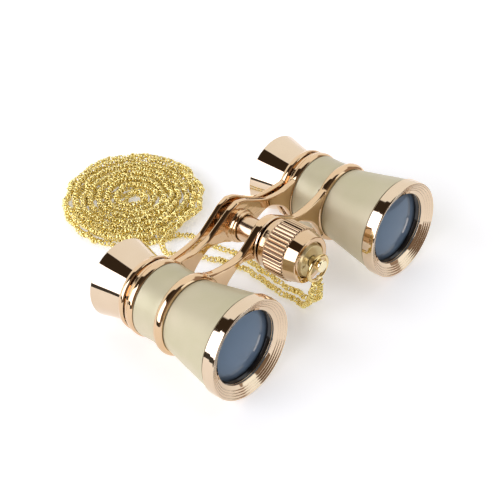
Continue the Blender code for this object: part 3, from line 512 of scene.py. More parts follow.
@dataclass(frozen=True)
class Optics:
    """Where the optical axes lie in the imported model.

    Args:
        origin: Point between the bezels' front edges, at the height of the axes.
        tilt: Angle by which the glasses dip towards their eyecups.
        spacing: Distance between the two barrels.
        centre_rise: Height of the focus axis above the optical ones.
        knob_front: Station of the knob's front face, where the focus joint sits.
    """

    origin: Vector
    tilt: float
    spacing: float
    centre_rise: float = 0.0070
    knob_front: float = 0.00835

    @classmethod
    def of_frame(cls, frame: dict) -> Optics:
        """Reads the axes from the frame's focus joint and the bezels' boxes.


        Returns:
            The optics of this frame.
        """
        turn = next(joint for joint in frame["joints"] if joint["name"] == "focus_turn")
        back = Vector(turn["axis"]).normalized()
        up = Vector((0, -back.z, back.y))
        left, right = (sum(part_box("objective_bezel_" + side.suffix), Vector()) / 2 for side in Side)
        origin = Vector(turn["pos_m"]) - back * cls.knob_front - up * cls.centre_rise
        return cls(origin, math.atan2(-back.z, back.y), right.x - left.x)

    def matrix(self, across: float = 0, station: float = 0, rise: float = 0) -> Matrix:
        """Frame of an axis.

        Args:
            across: Place across the barrels.
            station: Distance back from the bezels' front edge.
            rise: Height above the optical axes.

        Returns:
            A frame whose Y runs back along the axis.
        """
        turn = Matrix.Rotation(-self.tilt, 4, "X")
        return Matrix.Translation(self.origin) @ turn @ Matrix.Translation((across, station, rise))

    def barrel(self, side: Side) -> Matrix:
        """Frame of one barrel's axis at the bezel's front edge."""
        return self.matrix(side.value * self.spacing / 2)

    @property
    def gear(self) -> Matrix:
        """Frame of the focus axis."""
        return self.matrix(rise=self.centre_rise)


def share_of(part: float, whole: float) -> float:
    """Share of a whole, kept from 0 to 1."""
    return min(max(part / whole, 0.0), 1.0)


def turns(count: int) -> list[float]:
    """Angles at even steps round a circle."""
    return [FULL_TURN * step / count for step in range(count)]


def rounded(corners: Sequence[Corner], closed: bool) -> list[Knot]:
    """Rounds the corners of a section by arcs.

    Args:
        corners: The section's corners.
        closed: Whether the last corner joins the first.

    Returns:
        The section's points, as radius and station.
    """
    points: list[Knot] = []
    count = len(corners)
    for index, (radius, station, *rounding) in enumerate(corners):
        here = Vector((radius, station))
        if not rounding or (not closed and index in (0, count - 1)):
            points.append((radius, station))
            continue
        before = Vector(corners[index - 1][:2]) - here
        after = Vector(corners[(index + 1) % count][:2]) - here
        bend = before.angle(after)
        reach = min(rounding[0] / math.tan(bend / 2), before.length * LONGEST_ROUNDING,
                    after.length * LONGEST_ROUNDING)
        size = reach * math.tan(bend / 2)
        middle = here + (before.normalized() + after.normalized()).normalized() * (size / math.sin(bend / 2))
        start = here + before.normalized() * reach - middle
        sweep = math.pi - bend
        turn = math.copysign(sweep, start.x * after.y - start.y * after.x)
        steps = max(1, math.ceil(sweep / ARC_STEP))
        for step in range(steps + 1):
            spot = middle + start @ Matrix.Rotation(-turn * step / steps, 2)
            points.append((max(spot.x, 0.0), spot.y))
    return points


def new_item(name: str, data: bpy.types.ID) -> bpy.types.Object:
    """Adds an object with its data to the scene.

    Args:
        name: Name of the object.
        data: Its mesh, curve or camera.

    Returns:
        The object.
    """
    item = bpy.data.objects.new(name, data)
    bpy.context.scene.collection.objects.link(item)
    return item


def line_curve(name: str, points: Sequence[Vector], dimensions: str) -> bpy.types.Curve:
    """Makes a curve of straight stretches.

    Args:
        name: Name of the curve.
        points: Its points.
        dimensions: 2D or 3D.

    Returns:
        The curve.
    """
    curve = bpy.data.curves.new(name, "CURVE")
    curve.dimensions = dimensions
    spline = curve.splines.new("POLY")
    spline.points.add(len(points) - 1)
    for knot, point in zip(spline.points, points):
        knot.co = (*point.to_3d(), 1)
    return curve


def evaluated_mesh(item: bpy.types.Object) -> bpy.types.Mesh:
    """Makes a plain mesh of an object as its modifiers leave it.

    Args:
        item: The object.

    Returns:
        The mesh.
    """
    bpy.context.view_layer.update()
    graph = bpy.context.evaluated_depsgraph_get()
    return bpy.data.meshes.new_from_object(item.evaluated_get(graph), depsgraph=graph)


def freeze(item: bpy.types.Object) -> None:
    """Replaces a piece's mesh by its evaluated one and drops its modifiers.

    Args:
        item: The piece.
    """
    mesh = evaluated_mesh(item)
    old = item.data
    item.modifiers.clear()
    item.data = mesh
    mesh.name = item.name
    bpy.data.meshes.remove(old)


def smooth(item: bpy.types.Object) -> None:
    """Shades a piece smooth, sharp at its real edges, its flats kept flat.

    Args:
        item: The piece.
    """
    item.data.shade_smooth()
    item.data.set_sharp_from_angle(angle=SHARP_ANGLE)
    weights = item.modifiers.new("flat_weights", "WEIGHTED_NORMAL")
    weights.keep_sharp = True
    freeze(item)


def finished(name: str, shape: bmesh.types.BMesh, place: Matrix) -> bpy.types.Object:
    """Turns a closed shape into a smooth-shaded piece in its place.

    Args:
        name: Name of the piece.
        shape: The shape, which is freed.
        place: Frame that the shape was made in.

    Returns:
        The piece, with its place in its mesh.
    """
    bmesh.ops.remove_doubles(shape, verts=shape.verts, dist=MERGE_DISTANCE)
    bmesh.ops.recalc_face_normals(shape, faces=shape.faces)
    mesh = bpy.data.meshes.new(name)
    shape.to_mesh(mesh)
    shape.free()
    mesh.transform(place)
    item = new_item(name, mesh)
    smooth(item)
    return item


def lathe(name: str, corners: Sequence[Corner], place: Matrix, steps: int = LATHE_STEPS) -> bpy.types.Object:
    """Turns a section about the Y axis of a frame into a closed mesh.

    Args:
        name: Name of the piece.
        corners: The section's corners; a section that starts on the axis is solid.
        place: Frame of the axis.
        steps: Facets round the axis.

    Returns:
        The piece.
    """
    closed = corners[0][0] > 0
    shape = bmesh.new()
    rings = []
    for radius, station in rounded(corners, closed):
        angles = turns(steps) if radius > 0 else [0.0]
        rings.append([shape.verts.new((radius * math.cos(a), station, radius * math.sin(a))) for a in angles])
    followers = rings[1:] + (rings[:1] if closed else [])
    for one, other in zip(rings, followers):
        for step in range(steps):
            ahead = (step + 1) % steps
            face = dict.fromkeys((one[step % len(one)], one[ahead % len(one)],
                                  other[ahead % len(other)], other[step % len(other)]))
            if len(face) > 2:
                shape.faces.new(list(face))
    return finished(name, shape, place)


def carve(item: bpy.types.Object, tool: bpy.types.Object, operation: str) -> None:
    """Joins a closed piece to another or cuts it away, and drops it.

    Args:
        item: The piece that is changed.
        tool: The piece that is used up.
        operation: UNION or DIFFERENCE.
    """
    cut = item.modifiers.new(tool.name, "BOOLEAN")
    cut.operation = operation
    cut.solver = "MANIFOLD"
    cut.object = tool
    freeze(item)
    bpy.data.objects.remove(tool)


def dress(item: bpy.types.Object, material: bpy.types.Material, slot: Slot, body: str, *nodes: str) -> None:
    """Gives a piece its finish, its body and the CAD nodes that it stands for.

    Args:
        item: The piece.
        material: Its finish.
        slot: The record's material slot; not used.
        body: The body that it rides on.
        *nodes: The nodes that it replaces.
    """
    item.data.materials.clear()
    item.data.materials.append(material)
    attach(item, body)
    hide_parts(*nodes)
    LOG.info("%s rides on %s for %s: %d faces", item.name, body, ", ".join(nodes), len(item.data.polygons))


class Finishes:
    """The materials that several pieces share."""

    def __init__(self, optics: Optics) -> None:
        """Builds them, the turned ones about the focus axis.

        Args:
            optics: The axes.
        """
        self.rose_gold = PolishedPlating("rose_gold_plating").material()
        self.chain_gold = PolishedPlating("chain_gold_plating", (1.0, 0.88, 0.41), (1.0, 0.81, 0.30),
                                          roughness=0.09, haze=0.08, haze_scale=1200.0).material()
        # painted shade and reflection: darker, browner copies of the rose gold for the bridges and the centre
        # tube
        self.warm_gold = PolishedPlating("warm_gold_plating", (0.78, 0.56, 0.355),
                                         (0.73, 0.51, 0.305)).material()
        self.tube_gold = PolishedPlating("tube_gold_plating", (0.76, 0.56, 0.38), (0.71, 0.51, 0.33),
                                         roughness=0.15, haze=0.06).material()
        # painted shade: a darker copy of the chain's gold for the hanging ring
        self.ring_gold = PolishedPlating("ring_gold_plating", (0.86, 0.69, 0.37), (0.78, 0.60, 0.29),
                                         roughness=0.07).material()
        self.stud_gold = PolishedPlating("stud_gold_plating", (0.97, 0.87, 0.62), (0.92, 0.80, 0.52),
                                         roughness=0.10).material()
        self.lacquer = PearlLacquer().material()
        self.black = BlackRing().material()
        self.brass = TurnedMetal("turned_brass", (0.76, 0.63, 0.35), (0.68, 0.55, 0.28), roughness=0.34,
                                 metal=0.7).material(optics.gear)
        self.steel = TurnedMetal("turned_steel", (0.62, 0.61, 0.59), (0.54, 0.53, 0.51),
                                 roughness=0.22).material(optics.gear)


@dataclass
class BarrelPart:
    """What every sub-assembly of one barrel shares."""

    optics: Optics
    finishes: Finishes
    side: Side

    def turned(self, name: str, corners: Sequence[Corner]) -> bpy.types.Object:
        """Turns a section about the barrel's axis, the name's braces standing for the side."""
        return lathe(name.format(self.side.suffix), corners, self.optics.barrel(self.side))

    def dressed(self, item: bpy.types.Object, material: bpy.types.Material, slot: Slot, body: str,
                node: str) -> None:
        """Dresses a piece for the side's own node."""
        dress(item, material, slot, body, node + self.side.suffix)


@dataclass
class Objective(BarrelPart):
    """Front end of one barrel: bezel, black retaining ring and coated lens."""

    outer: float = 0.0170
    bore: float = 0.0152
    length: float = 0.0044
    face_back: float = 0.0030
    opening: float = 0.01245
    opening_round: float = 0.00025
    dish: float = 0.0021
    land: float = 0.0166
    nose: float = 0.0004
    nose_draft: float = 0.00018
    swell: float = 0.0018
    swell_round: float = 0.002
    chamfer: float = 0.0003
    grooves: int = 4
    groove_pitch: float = 0.00072
    groove_depth: float = 0.00026
    groove_margin: float = 0.00025
    groove_round: float = 0.00006
    groove_shape: Sequence[Knot] = ((0.0, 0.0), (0.42, 0.0), (0.62, 1.0), (0.80, 0.0))
    lens_radius: float = 0.0128
    lens_station: float = 0.0038
    lens_swell: float = 0.0011
    lens_edge: float = 0.0025
    lens_rings: int = 16
    retainer_width: float = 0.0008
    retainer_lip: float = 0.0006
    retainer_step: tuple[float, float] = (0.0004, 0.00025)
    retainer_front: float = 0.00065
    retainer_round: float = 0.00008

    def bezel(self) -> bpy.types.Object:
        """Makes the dished bezel, with its fine grooves and rounded nose.

        Returns:
            The bezel, in place.
        """
        slope = self.dish / (self.land - self.opening)
        corners: list[Corner] = [(self.land, 0.0, EASED),
                                 (self.outer - self.nose_draft, self.nose, self.nose),
                                 (self.outer, self.swell, self.swell_round),
                                 (self.outer, self.length - self.chamfer),
                                 (self.outer - self.chamfer, self.length, CRISP / 2),
                                 (self.bore, self.length), (self.bore, self.face_back),
                                 (self.opening, self.face_back, CRISP),
                                 (self.opening, self.dish, self.opening_round)]
        start = self.land - self.groove_margin - self.grooves * self.groove_pitch
        for groove in range(self.grooves):
            for share, depth in self.groove_shape:
                radius = start + (groove + share) * self.groove_pitch
                station = (self.land - radius) * slope + depth * self.groove_depth
                corners.append((radius, station, self.groove_round))
        return self.turned("bezel_{}", corners)

    def lens_front(self, radius: float) -> float:
        """Station of the lens's front surface at a radius."""
        ball = (self.lens_radius ** 2 + self.lens_swell ** 2) / (2 * self.lens_swell)
        return self.lens_station + ball - math.sqrt(ball ** 2 - radius ** 2)

    def retainer(self) -> bpy.types.Object:
        """Makes the black ring in front of the lens, with a step and a chamfer.

        Returns:
            The ring, in place.
        """
        inner = self.lens_radius - self.retainer_width
        back = self.lens_front(inner) - self.retainer_round
        front = self.face_back + SEAT_GAP
        width, height = self.retainer_step
        return self.turned("lens_ring_{}", ((self.lens_radius, front), (self.lens_radius, back),
                                            (inner, back), (inner, back - self.retainer_lip, CRISP),
                                            (inner + width, front + height, CRISP),
                                            (inner + self.retainer_front, front, self.retainer_round)))

    def lens(self) -> bpy.types.Object:
        """Makes the domed front lens.

        Returns:
            The lens, in place.
        """
        radii = [self.lens_radius * ring / self.lens_rings for ring in range(self.lens_rings + 1)]
        back = self.lens_front(self.lens_radius) + self.lens_edge
        corners = [(radius, self.lens_front(radius)) for radius in radii]
        return self.turned("front_lens_{}", (*corners, (self.lens_radius, back), (0.0, back)))

    def build(self) -> None:
        """Makes and dresses the three pieces."""
        glass = CoatedGlass("coated_glass_" + self.side.suffix).material(self.optics.barrel(self.side),
                                                                         self.lens_radius)
        self.dressed(self.bezel(), self.finishes.rose_gold, Slot.ROSE_GOLD, "frame", "objective_bezel_")
        self.dressed(self.retainer(), self.finishes.black, Slot.BLACK_ANODISED, "frame", "lens_retainer_")
        self.dressed(self.lens(), glass, Slot.COATED_GLASS, "frame", "objective_lens_")


@dataclass
class Barrel(BarrelPart):
    """The two lacquered shells of one barrel: the front cone and the waisted sleeve behind it."""

    front: float = 0.0047
    back: float = 0.0248
    front_radius: float = 0.01675
    back_radius: float = 0.0125
    wall: float = 0.0012
    lacquer_edge: float = 0.00015
    spigot: float = 0.0122
    spigot_length: float = 0.0017
    slide_bore: float = 0.0113
    lens_seat: float = 0.0131
    seat_thickness: float = 0.0008
    spigot_front: float = 0.0033
    front_spigot: float = 0.0149
    shoulder: float = 0.0084
    sleeve_front: float = 0.0286
    sleeve_back: float = 0.0381
    sleeve_radius: float = 0.01255
    sleeve_edge: float = 0.00012
    sleeve_front_spigot: float = 0.0018
    sleeve_back_spigot: float = 0.0025
    front_swell: float = 0.00035
    back_swell: float = 0.0001
    waist: Sequence[Knot] = ((0.12, 0.00022), (0.25, 0.0001), (0.4, 0.0), (0.6, 0.0), (0.8, 0.00003))

    def cone(self) -> bpy.types.Object:
        """Makes the front cone with its spigots, its edges softened by the lacquer.

        Returns:
            The cone, in place.
        """
        seat_back = self.shoulder + self.seat_thickness
        seat_bore = self.lens_seat - self.wall
        spigot_back = self.back + self.spigot_length
        share = (seat_back - self.front) / (self.back - self.front)
        hollow = self.front_radius - (self.front_radius - self.back_radius) * share - self.wall
        return self.turned("cone_{}", ((self.front_spigot, self.spigot_front),
                                       (self.front_spigot, self.front),
                                       (self.front_radius, self.front, self.lacquer_edge),
                                       (self.back_radius, self.back, self.lacquer_edge),
                                       (self.spigot, self.back), (self.spigot, spigot_back),
                                       (self.slide_bore, spigot_back), (self.slide_bore, self.back),
                                       (hollow, seat_back), (seat_bore, seat_back),
                                       (seat_bore, self.shoulder), (self.lens_seat, self.shoulder),
                                       (self.lens_seat, self.spigot_front)))

    def sleeve(self) -> bpy.types.Object:
        """Makes the sleeve, waisted a little towards its middle.

        Returns:
            The sleeve, in place.
        """
        spigot_front = self.sleeve_front - self.sleeve_front_spigot
        spigot_back = self.sleeve_back + self.sleeve_back_spigot
        length = self.sleeve_back - self.sleeve_front
        sides = [(self.sleeve_radius + swell, self.sleeve_front + length * share)
                 for share, swell in self.waist]
        return self.turned("sleeve_{}", ((self.spigot, spigot_front), (self.spigot, self.sleeve_front),
                                         (self.sleeve_radius + self.front_swell, self.sleeve_front,
                                          self.sleeve_edge), *sides,
                                         (self.sleeve_radius + self.back_swell, self.sleeve_back,
                                          self.sleeve_edge),
                                         (self.spigot, self.sleeve_back), (self.spigot, spigot_back),
                                         (self.slide_bore, spigot_back), (self.slide_bore, spigot_front)))

    def build(self) -> None:
        """Makes and dresses both shells."""
        self.dressed(self.cone(), self.finishes.lacquer, Slot.PEARL_LACQUER, "frame", "front_barrel_")
        self.dressed(self.sleeve(), self.finishes.lacquer, Slot.PEARL_LACQUER, "frame", "rear_sleeve_")


@dataclass
class Eyepiece(BarrelPart):
    """Moving end of one barrel: draw tube, flared eyecup, eye lens and its black ring."""

    tube_radius: float = 0.0110
    tube_front: float = 0.0305
    tube_back: float = 0.0450
    tube_wall: float = 0.0010
    tube_edge: float = 0.00015
    front: float = 0.0453
    back: float = 0.0570
    spigot_depth: float = 0.0013
    spigot_length: float = 0.0023
    neck_radius: float = 0.0109
    flare_stops: Sequence[float] = (0.2, 0.4, 0.6, 0.8)
    flare_sag: float = 0.00012
    flare_end: float = 0.0004
    rim_radius: float = 0.0136
    rim_edge: float = 0.00045
    rim_width: float = 0.0014
    floor: float = 0.0504
    floor_width: float = 0.0009
    seat: float = 0.0088
    seat_ledge: float = 0.0012
    lens_radius: float = 0.0085
    lens_front: float = 0.0462
    lens_edge: float = 0.0022
    lens_hollow: float = 0.0005
    lens_rings: int = 10
    ring_width: float = 0.0009
    ring_length: float = 0.0014
    ring_face: float = 0.0006
    ring_lip: float = 0.0004
    # painted shade: the dark inside of the eyepiece seen through the eye lens, darker still at the rim
    glass_middle: Point = (0.05, 0.07, 0.09)
    glass_edge: Point = (0.02, 0.025, 0.03)

    def tube(self) -> bpy.types.Object:
        """Makes the sliding tube."""
        inner = self.tube_radius - self.tube_wall
        return self.turned("tube_{}", ((self.tube_radius, self.tube_front, self.tube_edge),
                                       (self.tube_radius, self.tube_back), (inner, self.tube_back),
                                       (inner, self.tube_front)))

    def cup(self) -> bpy.types.Object:
        """Makes the flared cup, a shallow curve from its neck to its rounded rim.

        Returns:
            The cup, in place.
        """
        spigot = self.tube_radius - self.spigot_depth
        spigot_front = self.front - self.spigot_length
        ledge = self.seat - self.seat_ledge
        ledge_back = self.lens_front - SEAT_GAP
        corners: list[Corner] = [(spigot, spigot_front), (spigot, self.front),
                                 (self.neck_radius, self.front, CRISP)]
        reach = self.back - self.flare_end - self.front
        for share in self.flare_stops:
            flare = (self.rim_radius - self.neck_radius) * share - self.flare_sag * math.sin(math.pi * share)
            corners.append((self.neck_radius + flare, self.front + reach * share))
        corners += [(self.rim_radius, self.back - ROUNDED, ROUNDED),
                    (self.rim_radius - self.rim_edge, self.back, ROUNDED),
                    (self.rim_radius - self.rim_width, self.back, ROUNDED),
                    (self.seat + self.floor_width, self.floor, EASED), (self.seat, self.floor),
                    (self.seat, ledge_back), (ledge, ledge_back), (ledge, spigot_front)]
        return self.turned("cup_{}", corners)

    def lens(self) -> bpy.types.Object:
        """Makes the eye lens, hollow on both faces.

        Returns:
            The lens, in place.
        """
        radii = [self.lens_radius * ring / self.lens_rings for ring in range(self.lens_rings + 1)]
        sags = [self.lens_hollow * (1 - (radius / self.lens_radius) ** 2) for radius in radii]
        back = self.lens_front + self.lens_edge
        front_face = [(radius, self.lens_front + sag) for radius, sag in zip(radii, sags)]
        back_face = [(radius, back - sag) for radius, sag in zip(radii, sags)]
        return self.turned("eye_lens_{}_glass", front_face + back_face[::-1])

    def ring(self) -> bpy.types.Object:
        """Makes the black ring behind the eye lens.

        Returns:
            The ring, in place.
        """
        inner = self.lens_radius - self.ring_width
        front = self.lens_front + self.lens_edge + SEAT_GAP
        back = front + self.ring_length
        return self.turned("eye_ring_{}", ((self.lens_radius, front), (self.lens_radius, back, CRISP),
                                           (inner + self.ring_face, back, CRISP),
                                           (inner, front + self.ring_lip, CRISP), (inner, front)))

    def build(self) -> None:
        """Makes and dresses the four pieces."""
        glass = CoatedGlass("eye_glass_" + self.side.suffix, self.glass_middle, self.glass_edge).material(
            self.optics.barrel(self.side), self.lens_radius)
        self.dressed(self.tube(), self.finishes.rose_gold, Slot.ROSE_GOLD, "eyepieces", "draw_tube_")
        self.dressed(self.cup(), self.finishes.rose_gold, Slot.ROSE_GOLD, "eyepieces", "eyecup_")
        self.dressed(self.lens(), glass, Slot.COATED_GLASS, "eyepieces", "eye_lens_")
        self.dressed(self.ring(), self.finishes.black, Slot.BLACK_ANODISED, "eyepieces", "eye_lens_retainer_")


def smooth_line(knots: Sequence[Vector], parts: int) -> list[Vector]:
    """Points of a smooth curve through knots.

    Args:
        knots: The points that the curve passes through.
        parts: Points for each stretch between knots.

    Returns:
        The curve's points, both ends included.
    """
    line = [knots[0] * 2 - knots[1], *knots, knots[-1] * 2 - knots[-2]]
    fine = [knots[0].copy()]
    for first, start, end, last in zip(line, line[1:], line[2:], line[3:]):
        for part in range(1, parts + 1):
            share = part / parts
            fine.append(((start * 2) + (end - first) * share
                         + (first * 2 - start * 5 + end * 4 - last) * share ** 2
                         + (start * 3 - first - end * 3 + last) * share ** 3) / 2)
    return fine


def even_line(fine: Sequence[Vector], step: float) -> list[Vector]:
    """Points at even steps along a line.

    Args:
        fine: Close points of the line.
        step: Distance between the new points.

    Returns:
        The new points, both ends included.
    """
    lengths = [0.0]
    for start, end in zip(fine, fine[1:]):
        lengths.append(lengths[-1] + (end - start).length)
    count = max(2, round(lengths[-1] / step))
    points = []
    index = 0
    for stop in range(count + 1):
        target = lengths[-1] * stop / count
        while index < len(fine) - 2 and lengths[index + 1] < target:
            index += 1
        share = (target - lengths[index]) / (lengths[index + 1] - lengths[index])
        points.append(fine[index].lerp(fine[index + 1], share))
    return points


@dataclass
class Bridge:
    """One arched bridge, a web between two ring bands with a hub on the focus axis: here the front one.

    The knots of the web's edges near the middle count their rise from the focus axis, and those near a ring
    count inwards from the optical axis. The sections count their stations from the web's front face.

    Args:
        optics: The axes.
        finishes: The shared materials.
        name: Name of the piece.
        node: The CAD node that it stands for.
        body: The body that it rides on.
        face: Station of the web's front face.
        thickness: Thickness of the web.
        crown: Knots of the upper edge near the middle.
        shoulder: Knots of the upper edge near a ring.
        underarm: Knots of the lower edge near a ring.
        belly: Knots of the lower edge near the middle.
        band: Section of a ring band.
        hub: Section of the hub.
        reach: Radius at which the web ends inside a ring band.
        hub_reach: Radius of the web's opening round the hub.
        edge: Rounding of the web's edges.
        inset: Depth of the web's faces behind those of band and hub.
    """

    optics: Optics
    finishes: Finishes
    name: str = "bridge_front"
    node: str = "front_bridge"
    body: str = "frame"
    face: float = 0.0251
    thickness: float = 0.0032
    crown: Sequence[Knot] = ((0, 0.0082), (0.0035, 0.0073), (0.0073, 0.0050), (0.0114, 0.0023))
    shoulder: Sequence[Knot] = ((0.0230, 0.0083), (0.0182, 0.0083), (0.0129, 0.0092), (0.0090, 0.0106))
    underarm: Sequence[Knot] = ((0.0118, -0.0071), (0.0140, -0.0030), (0.0167, 0.0012), (0.0202, 0.0039),
                                (0.0240, 0.0057))
    belly: Sequence[Knot] = ((0.0080, -0.0030), (0, -0.0050))
    band: Sequence[Corner] = ((0.0125, 0.0032), (0.0125, 0), (0.01275, 0, CRISP), (0.01335, 0.0003, 0.0004),
                              (0.0138, 0.0009, 0.0008), (0.0140, 0.0017, 0.0010), (0.0138, 0.0026, 0.0007),
                              (0.0134, 0.0032, ROUNDED))
    hub: Sequence[Corner] = ((0.0047, 0.0032), (0.0047, 0.0013), (0.0018, 0.0013), (0.0018, 0),
                             (0.0080, 0, ROUNDED), (0.0080, 0.0032, ROUNDED))
    reach: float = 0.0131
    hub_reach: float = 0.0064
    edge: float = 0.0009
    inset: float = 0.0001
    edge_steps: int = 5
    parts: int = 6
    arc_parts: int = 24

    def outline(self) -> list[Vector]:
        """Gives the web's whole outline, its ends following circles inside the ring bands.

        Returns:
            The outline's points, round from the middle of the upper edge.
        """
        half = self.optics.spacing / 2

        def edge_line(middle: Sequence[Knot], side: Sequence[Knot], outwards: bool) -> list[Vector]:
            """Smooth edge between the middle and the right ring.

            Args:
                middle: Knots near the middle.
                side: Knots near the ring.
                outwards: Whether the edge runs from the middle to the ring.

            Returns:
                The edge's points.
            """
            knots = [Vector((across, self.optics.centre_rise + rise)) for across, rise in middle]
            near_ring = [Vector((half - inward, rise)) for inward, rise in side]
            return smooth_line(knots + near_ring if outwards else near_ring + knots, self.parts)

        top = edge_line(self.crown, self.shoulder, True)
        bottom = edge_line(self.belly, self.underarm, False)
        centre = Vector((half, 0))
        start, end = top[-1] - centre, bottom[0] - centre
        first = math.atan2(start.y, start.x)
        sweep = (math.atan2(end.y, end.x) - first) % FULL_TURN
        angles = [first + sweep * step / self.arc_parts for step in range(self.arc_parts + 1)]
        arc = [centre + Vector((math.cos(angle), math.sin(angle))) * self.reach for angle in angles]
        right = top + arc + bottom
        left = [Vector((-point.x, point.y)) for point in reversed(right) if point.x > MERGE_DISTANCE]
        return right + left

    def web(self) -> bpy.types.Object:
        """Makes the web with rounded edges.

        Returns:
            The web, in place.
        """
        curve = line_curve(self.name + "_web", self.outline(), "2D")
        curve.splines[0].use_cyclic_u = True
        curve.fill_mode = "BOTH"
        curve.extrude = self.thickness / 2 - self.inset - self.edge
        curve.bevel_depth = self.edge
        curve.bevel_resolution = self.edge_steps
        curve.offset = -self.edge
        item = new_item(self.name, curve)
        mesh = evaluated_mesh(item)
        shape = bmesh.new()
        shape.from_mesh(mesh)
        bpy.data.objects.remove(item)
        bpy.data.curves.remove(curve)
        bpy.data.meshes.remove(mesh)
        middle = self.optics.matrix(station=self.face + self.thickness / 2)
        return finished(self.name, shape, middle @ Matrix.Rotation(math.pi / 2, 4, "X"))

    def turned(self, name: str, section: Sequence[Corner], place: Matrix) -> bpy.types.Object:
        """Turns a section that counts its stations from the web's front face."""
        corners = [(radius, self.face + station, *rounding) for radius, station, *rounding in section]
        return lathe(self.name + name, corners, place)

    def build(self) -> None:
        """Makes the web, opens it for its hub, joins hub and bands to it and dresses the bridge."""
        item = self.web()
        gear = self.optics.gear
        front, back = -self.thickness, 2 * self.thickness
        opening = ((0.0, front), (self.hub_reach, front), (self.hub_reach, back), (0.0, back))
        carve(item, self.turned("_drill", opening, gear), "DIFFERENCE")
        carve(item, self.turned("_hub", self.hub, gear), "UNION")
        for side in Side:
            carve(item, self.turned("_band_" + side.suffix, self.band, self.optics.barrel(side)), "UNION")
        smooth(item)
        # the bridges take the browner copy of the rose gold, painted shade and reflection
        dress(item, self.finishes.warm_gold, Slot.ROSE_GOLD, self.body, self.node)


@dataclass
class RearBridge(Bridge):
    """The rear fixed bridge, with a stepped collar round the centre tube."""

    name: str = "bridge_rear"
    node: str = "rear_bridge"
    face: float = 0.0384
    thickness: float = 0.0024
    crown: Sequence[Knot] = ((0, 0.0092), (0.0035, 0.0081), (0.0072, 0.0061), (0.0122, 0.0035))
    shoulder: Sequence[Knot] = ((0.0222, 0.0093), (0.0166, 0.0085), (0.0126, 0.0089), (0.0090, 0.0092))
    underarm: Sequence[Knot] = ((0.0109, -0.0068), (0.0132, -0.0030), (0.0158, 0.0014), (0.0200, 0.0046),
                                (0.0240, 0.0060))
    belly: Sequence[Knot] = ((0.0080, -0.0025), (0.0045, -0.0043), (0, -0.0052))
    band: Sequence[Corner] = ((0.0113, 0.0033), (0.0113, 0.0025), (0.0125, 0.0025), (0.0125, 0),
                              (0.0127, 0, CRISP), (0.0132, 0.0006, 0.0005), (0.0132, 0.0018, 0.0005),
                              (0.0128, 0.0024, EASED), (0.01275, 0.0033, EASED))
    hub: Sequence[Corner] = ((0.0047, 0.0024), (0.0047, -0.0021), (0.0051, -0.0021, CRISP),
                             (0.0053, -0.0018, CRISP), (0.0053, -0.0012), (0.0056, -0.0012, 0.00012),
                             (0.0056, 0), (0.0059, 0), (0.0059, 0.0024, EASED))
    reach: float = 0.0127
    hub_reach: float = 0.0052
    edge: float = 0.0007


@dataclass
class EyepieceBridge(RearBridge):
    """The moving bridge that carries both eyepieces, its underside like the rear bridge's."""

    name: str = "bridge_eyepiece"
    node: str = "eyepiece_bridge"
    body: str = "eyepieces"
    face: float = 0.0428
    thickness: float = 0.0022
    crown: Sequence[Knot] = ((0, 0.0092), (0.0035, 0.0081), (0.0072, 0.0057), (0.0121, 0.0026))
    shoulder: Sequence[Knot] = ((0.0226, 0.0085), (0.0176, 0.0078), (0.0136, 0.0076), (0.0096, 0.0075))
    band: Sequence[Corner] = ((0.0113, 0.0022), (0.0113, 0), (0.0124, 0, CRISP), (0.0128, 0.0004, ROUNDED),
                              (0.0128, 0.0012, 0.0004), (0.0124, 0.0022, EASED))
    hub: Sequence[Corner] = ((0.0037, 0.0022), (0.0037, 0), (0.0059, 0, EASED), (0.0059, 0.0022, EASED))
    reach: float = 0.0121
    hub_reach: float = 0.0049


class GeometryTree(NodeBuilder):
    """A Geometry Nodes tree with named inputs."""

    def __init__(self, name: str) -> None:
        """Adds an empty tree under its name.

        Args:
            name: Name of the tree.
        """
        super().__init__(bpy.data.node_groups.new(name, "GeometryNodeTree"))
        for way in ("INPUT", "OUTPUT"):
            self.tree.interface.new_socket("Geometry", in_out=way, socket_type="NodeSocketGeometry")
        self.source = self.add("NodeGroupInput")
        self.values: dict[str, object] = {}

    def value(self, name: str, kind: str, value: object) -> bpy.types.NodeSocket:
        """Adds a named input.

        Args:
            name: Name of the input.
            kind: Kind of the socket: Float, Int, Vector, Object or Material.
            value: Its value on the piece.

        Returns:
            The socket to read in the tree.
        """
        socket = self.tree.interface.new_socket(name, in_out="INPUT", socket_type="NodeSocket" + kind)
        self.values[socket.identifier] = value
        return self.source.outputs[name]

    def numbers(self, **values: float) -> list[bpy.types.NodeSocket]:
        """Adds named inputs for numbers, underscores standing for blanks."""
        return [self.value(name.replace("_", " "), "Float", value) for name, value in values.items()]

    def run(self, item: bpy.types.Object, geometry: bpy.types.NodeSocket, finish: bpy.types.Material) -> None:
        """Ends the tree, runs it on a piece and leaves a plain mesh.

        Args:
            item: The piece that the tree works on.
            geometry: The tree's result.
            finish: The piece's finish.
        """
        material = self.value("Finish", "Material", finish)
        real = self.add("GeometryNodeRealizeInstances", {"Geometry": geometry})
        painted = self.add("GeometryNodeSetMaterial", {"Geometry": real.outputs["Geometry"],
                                                       "Material": material})
        self.add("NodeGroupOutput", {"Geometry": painted.outputs["Geometry"]})
        modifier = item.modifiers.new(self.tree.name, "NODES")
        modifier.node_group = self.tree
        for identifier, value in self.values.items():
            modifier[identifier] = value
        freeze(item)


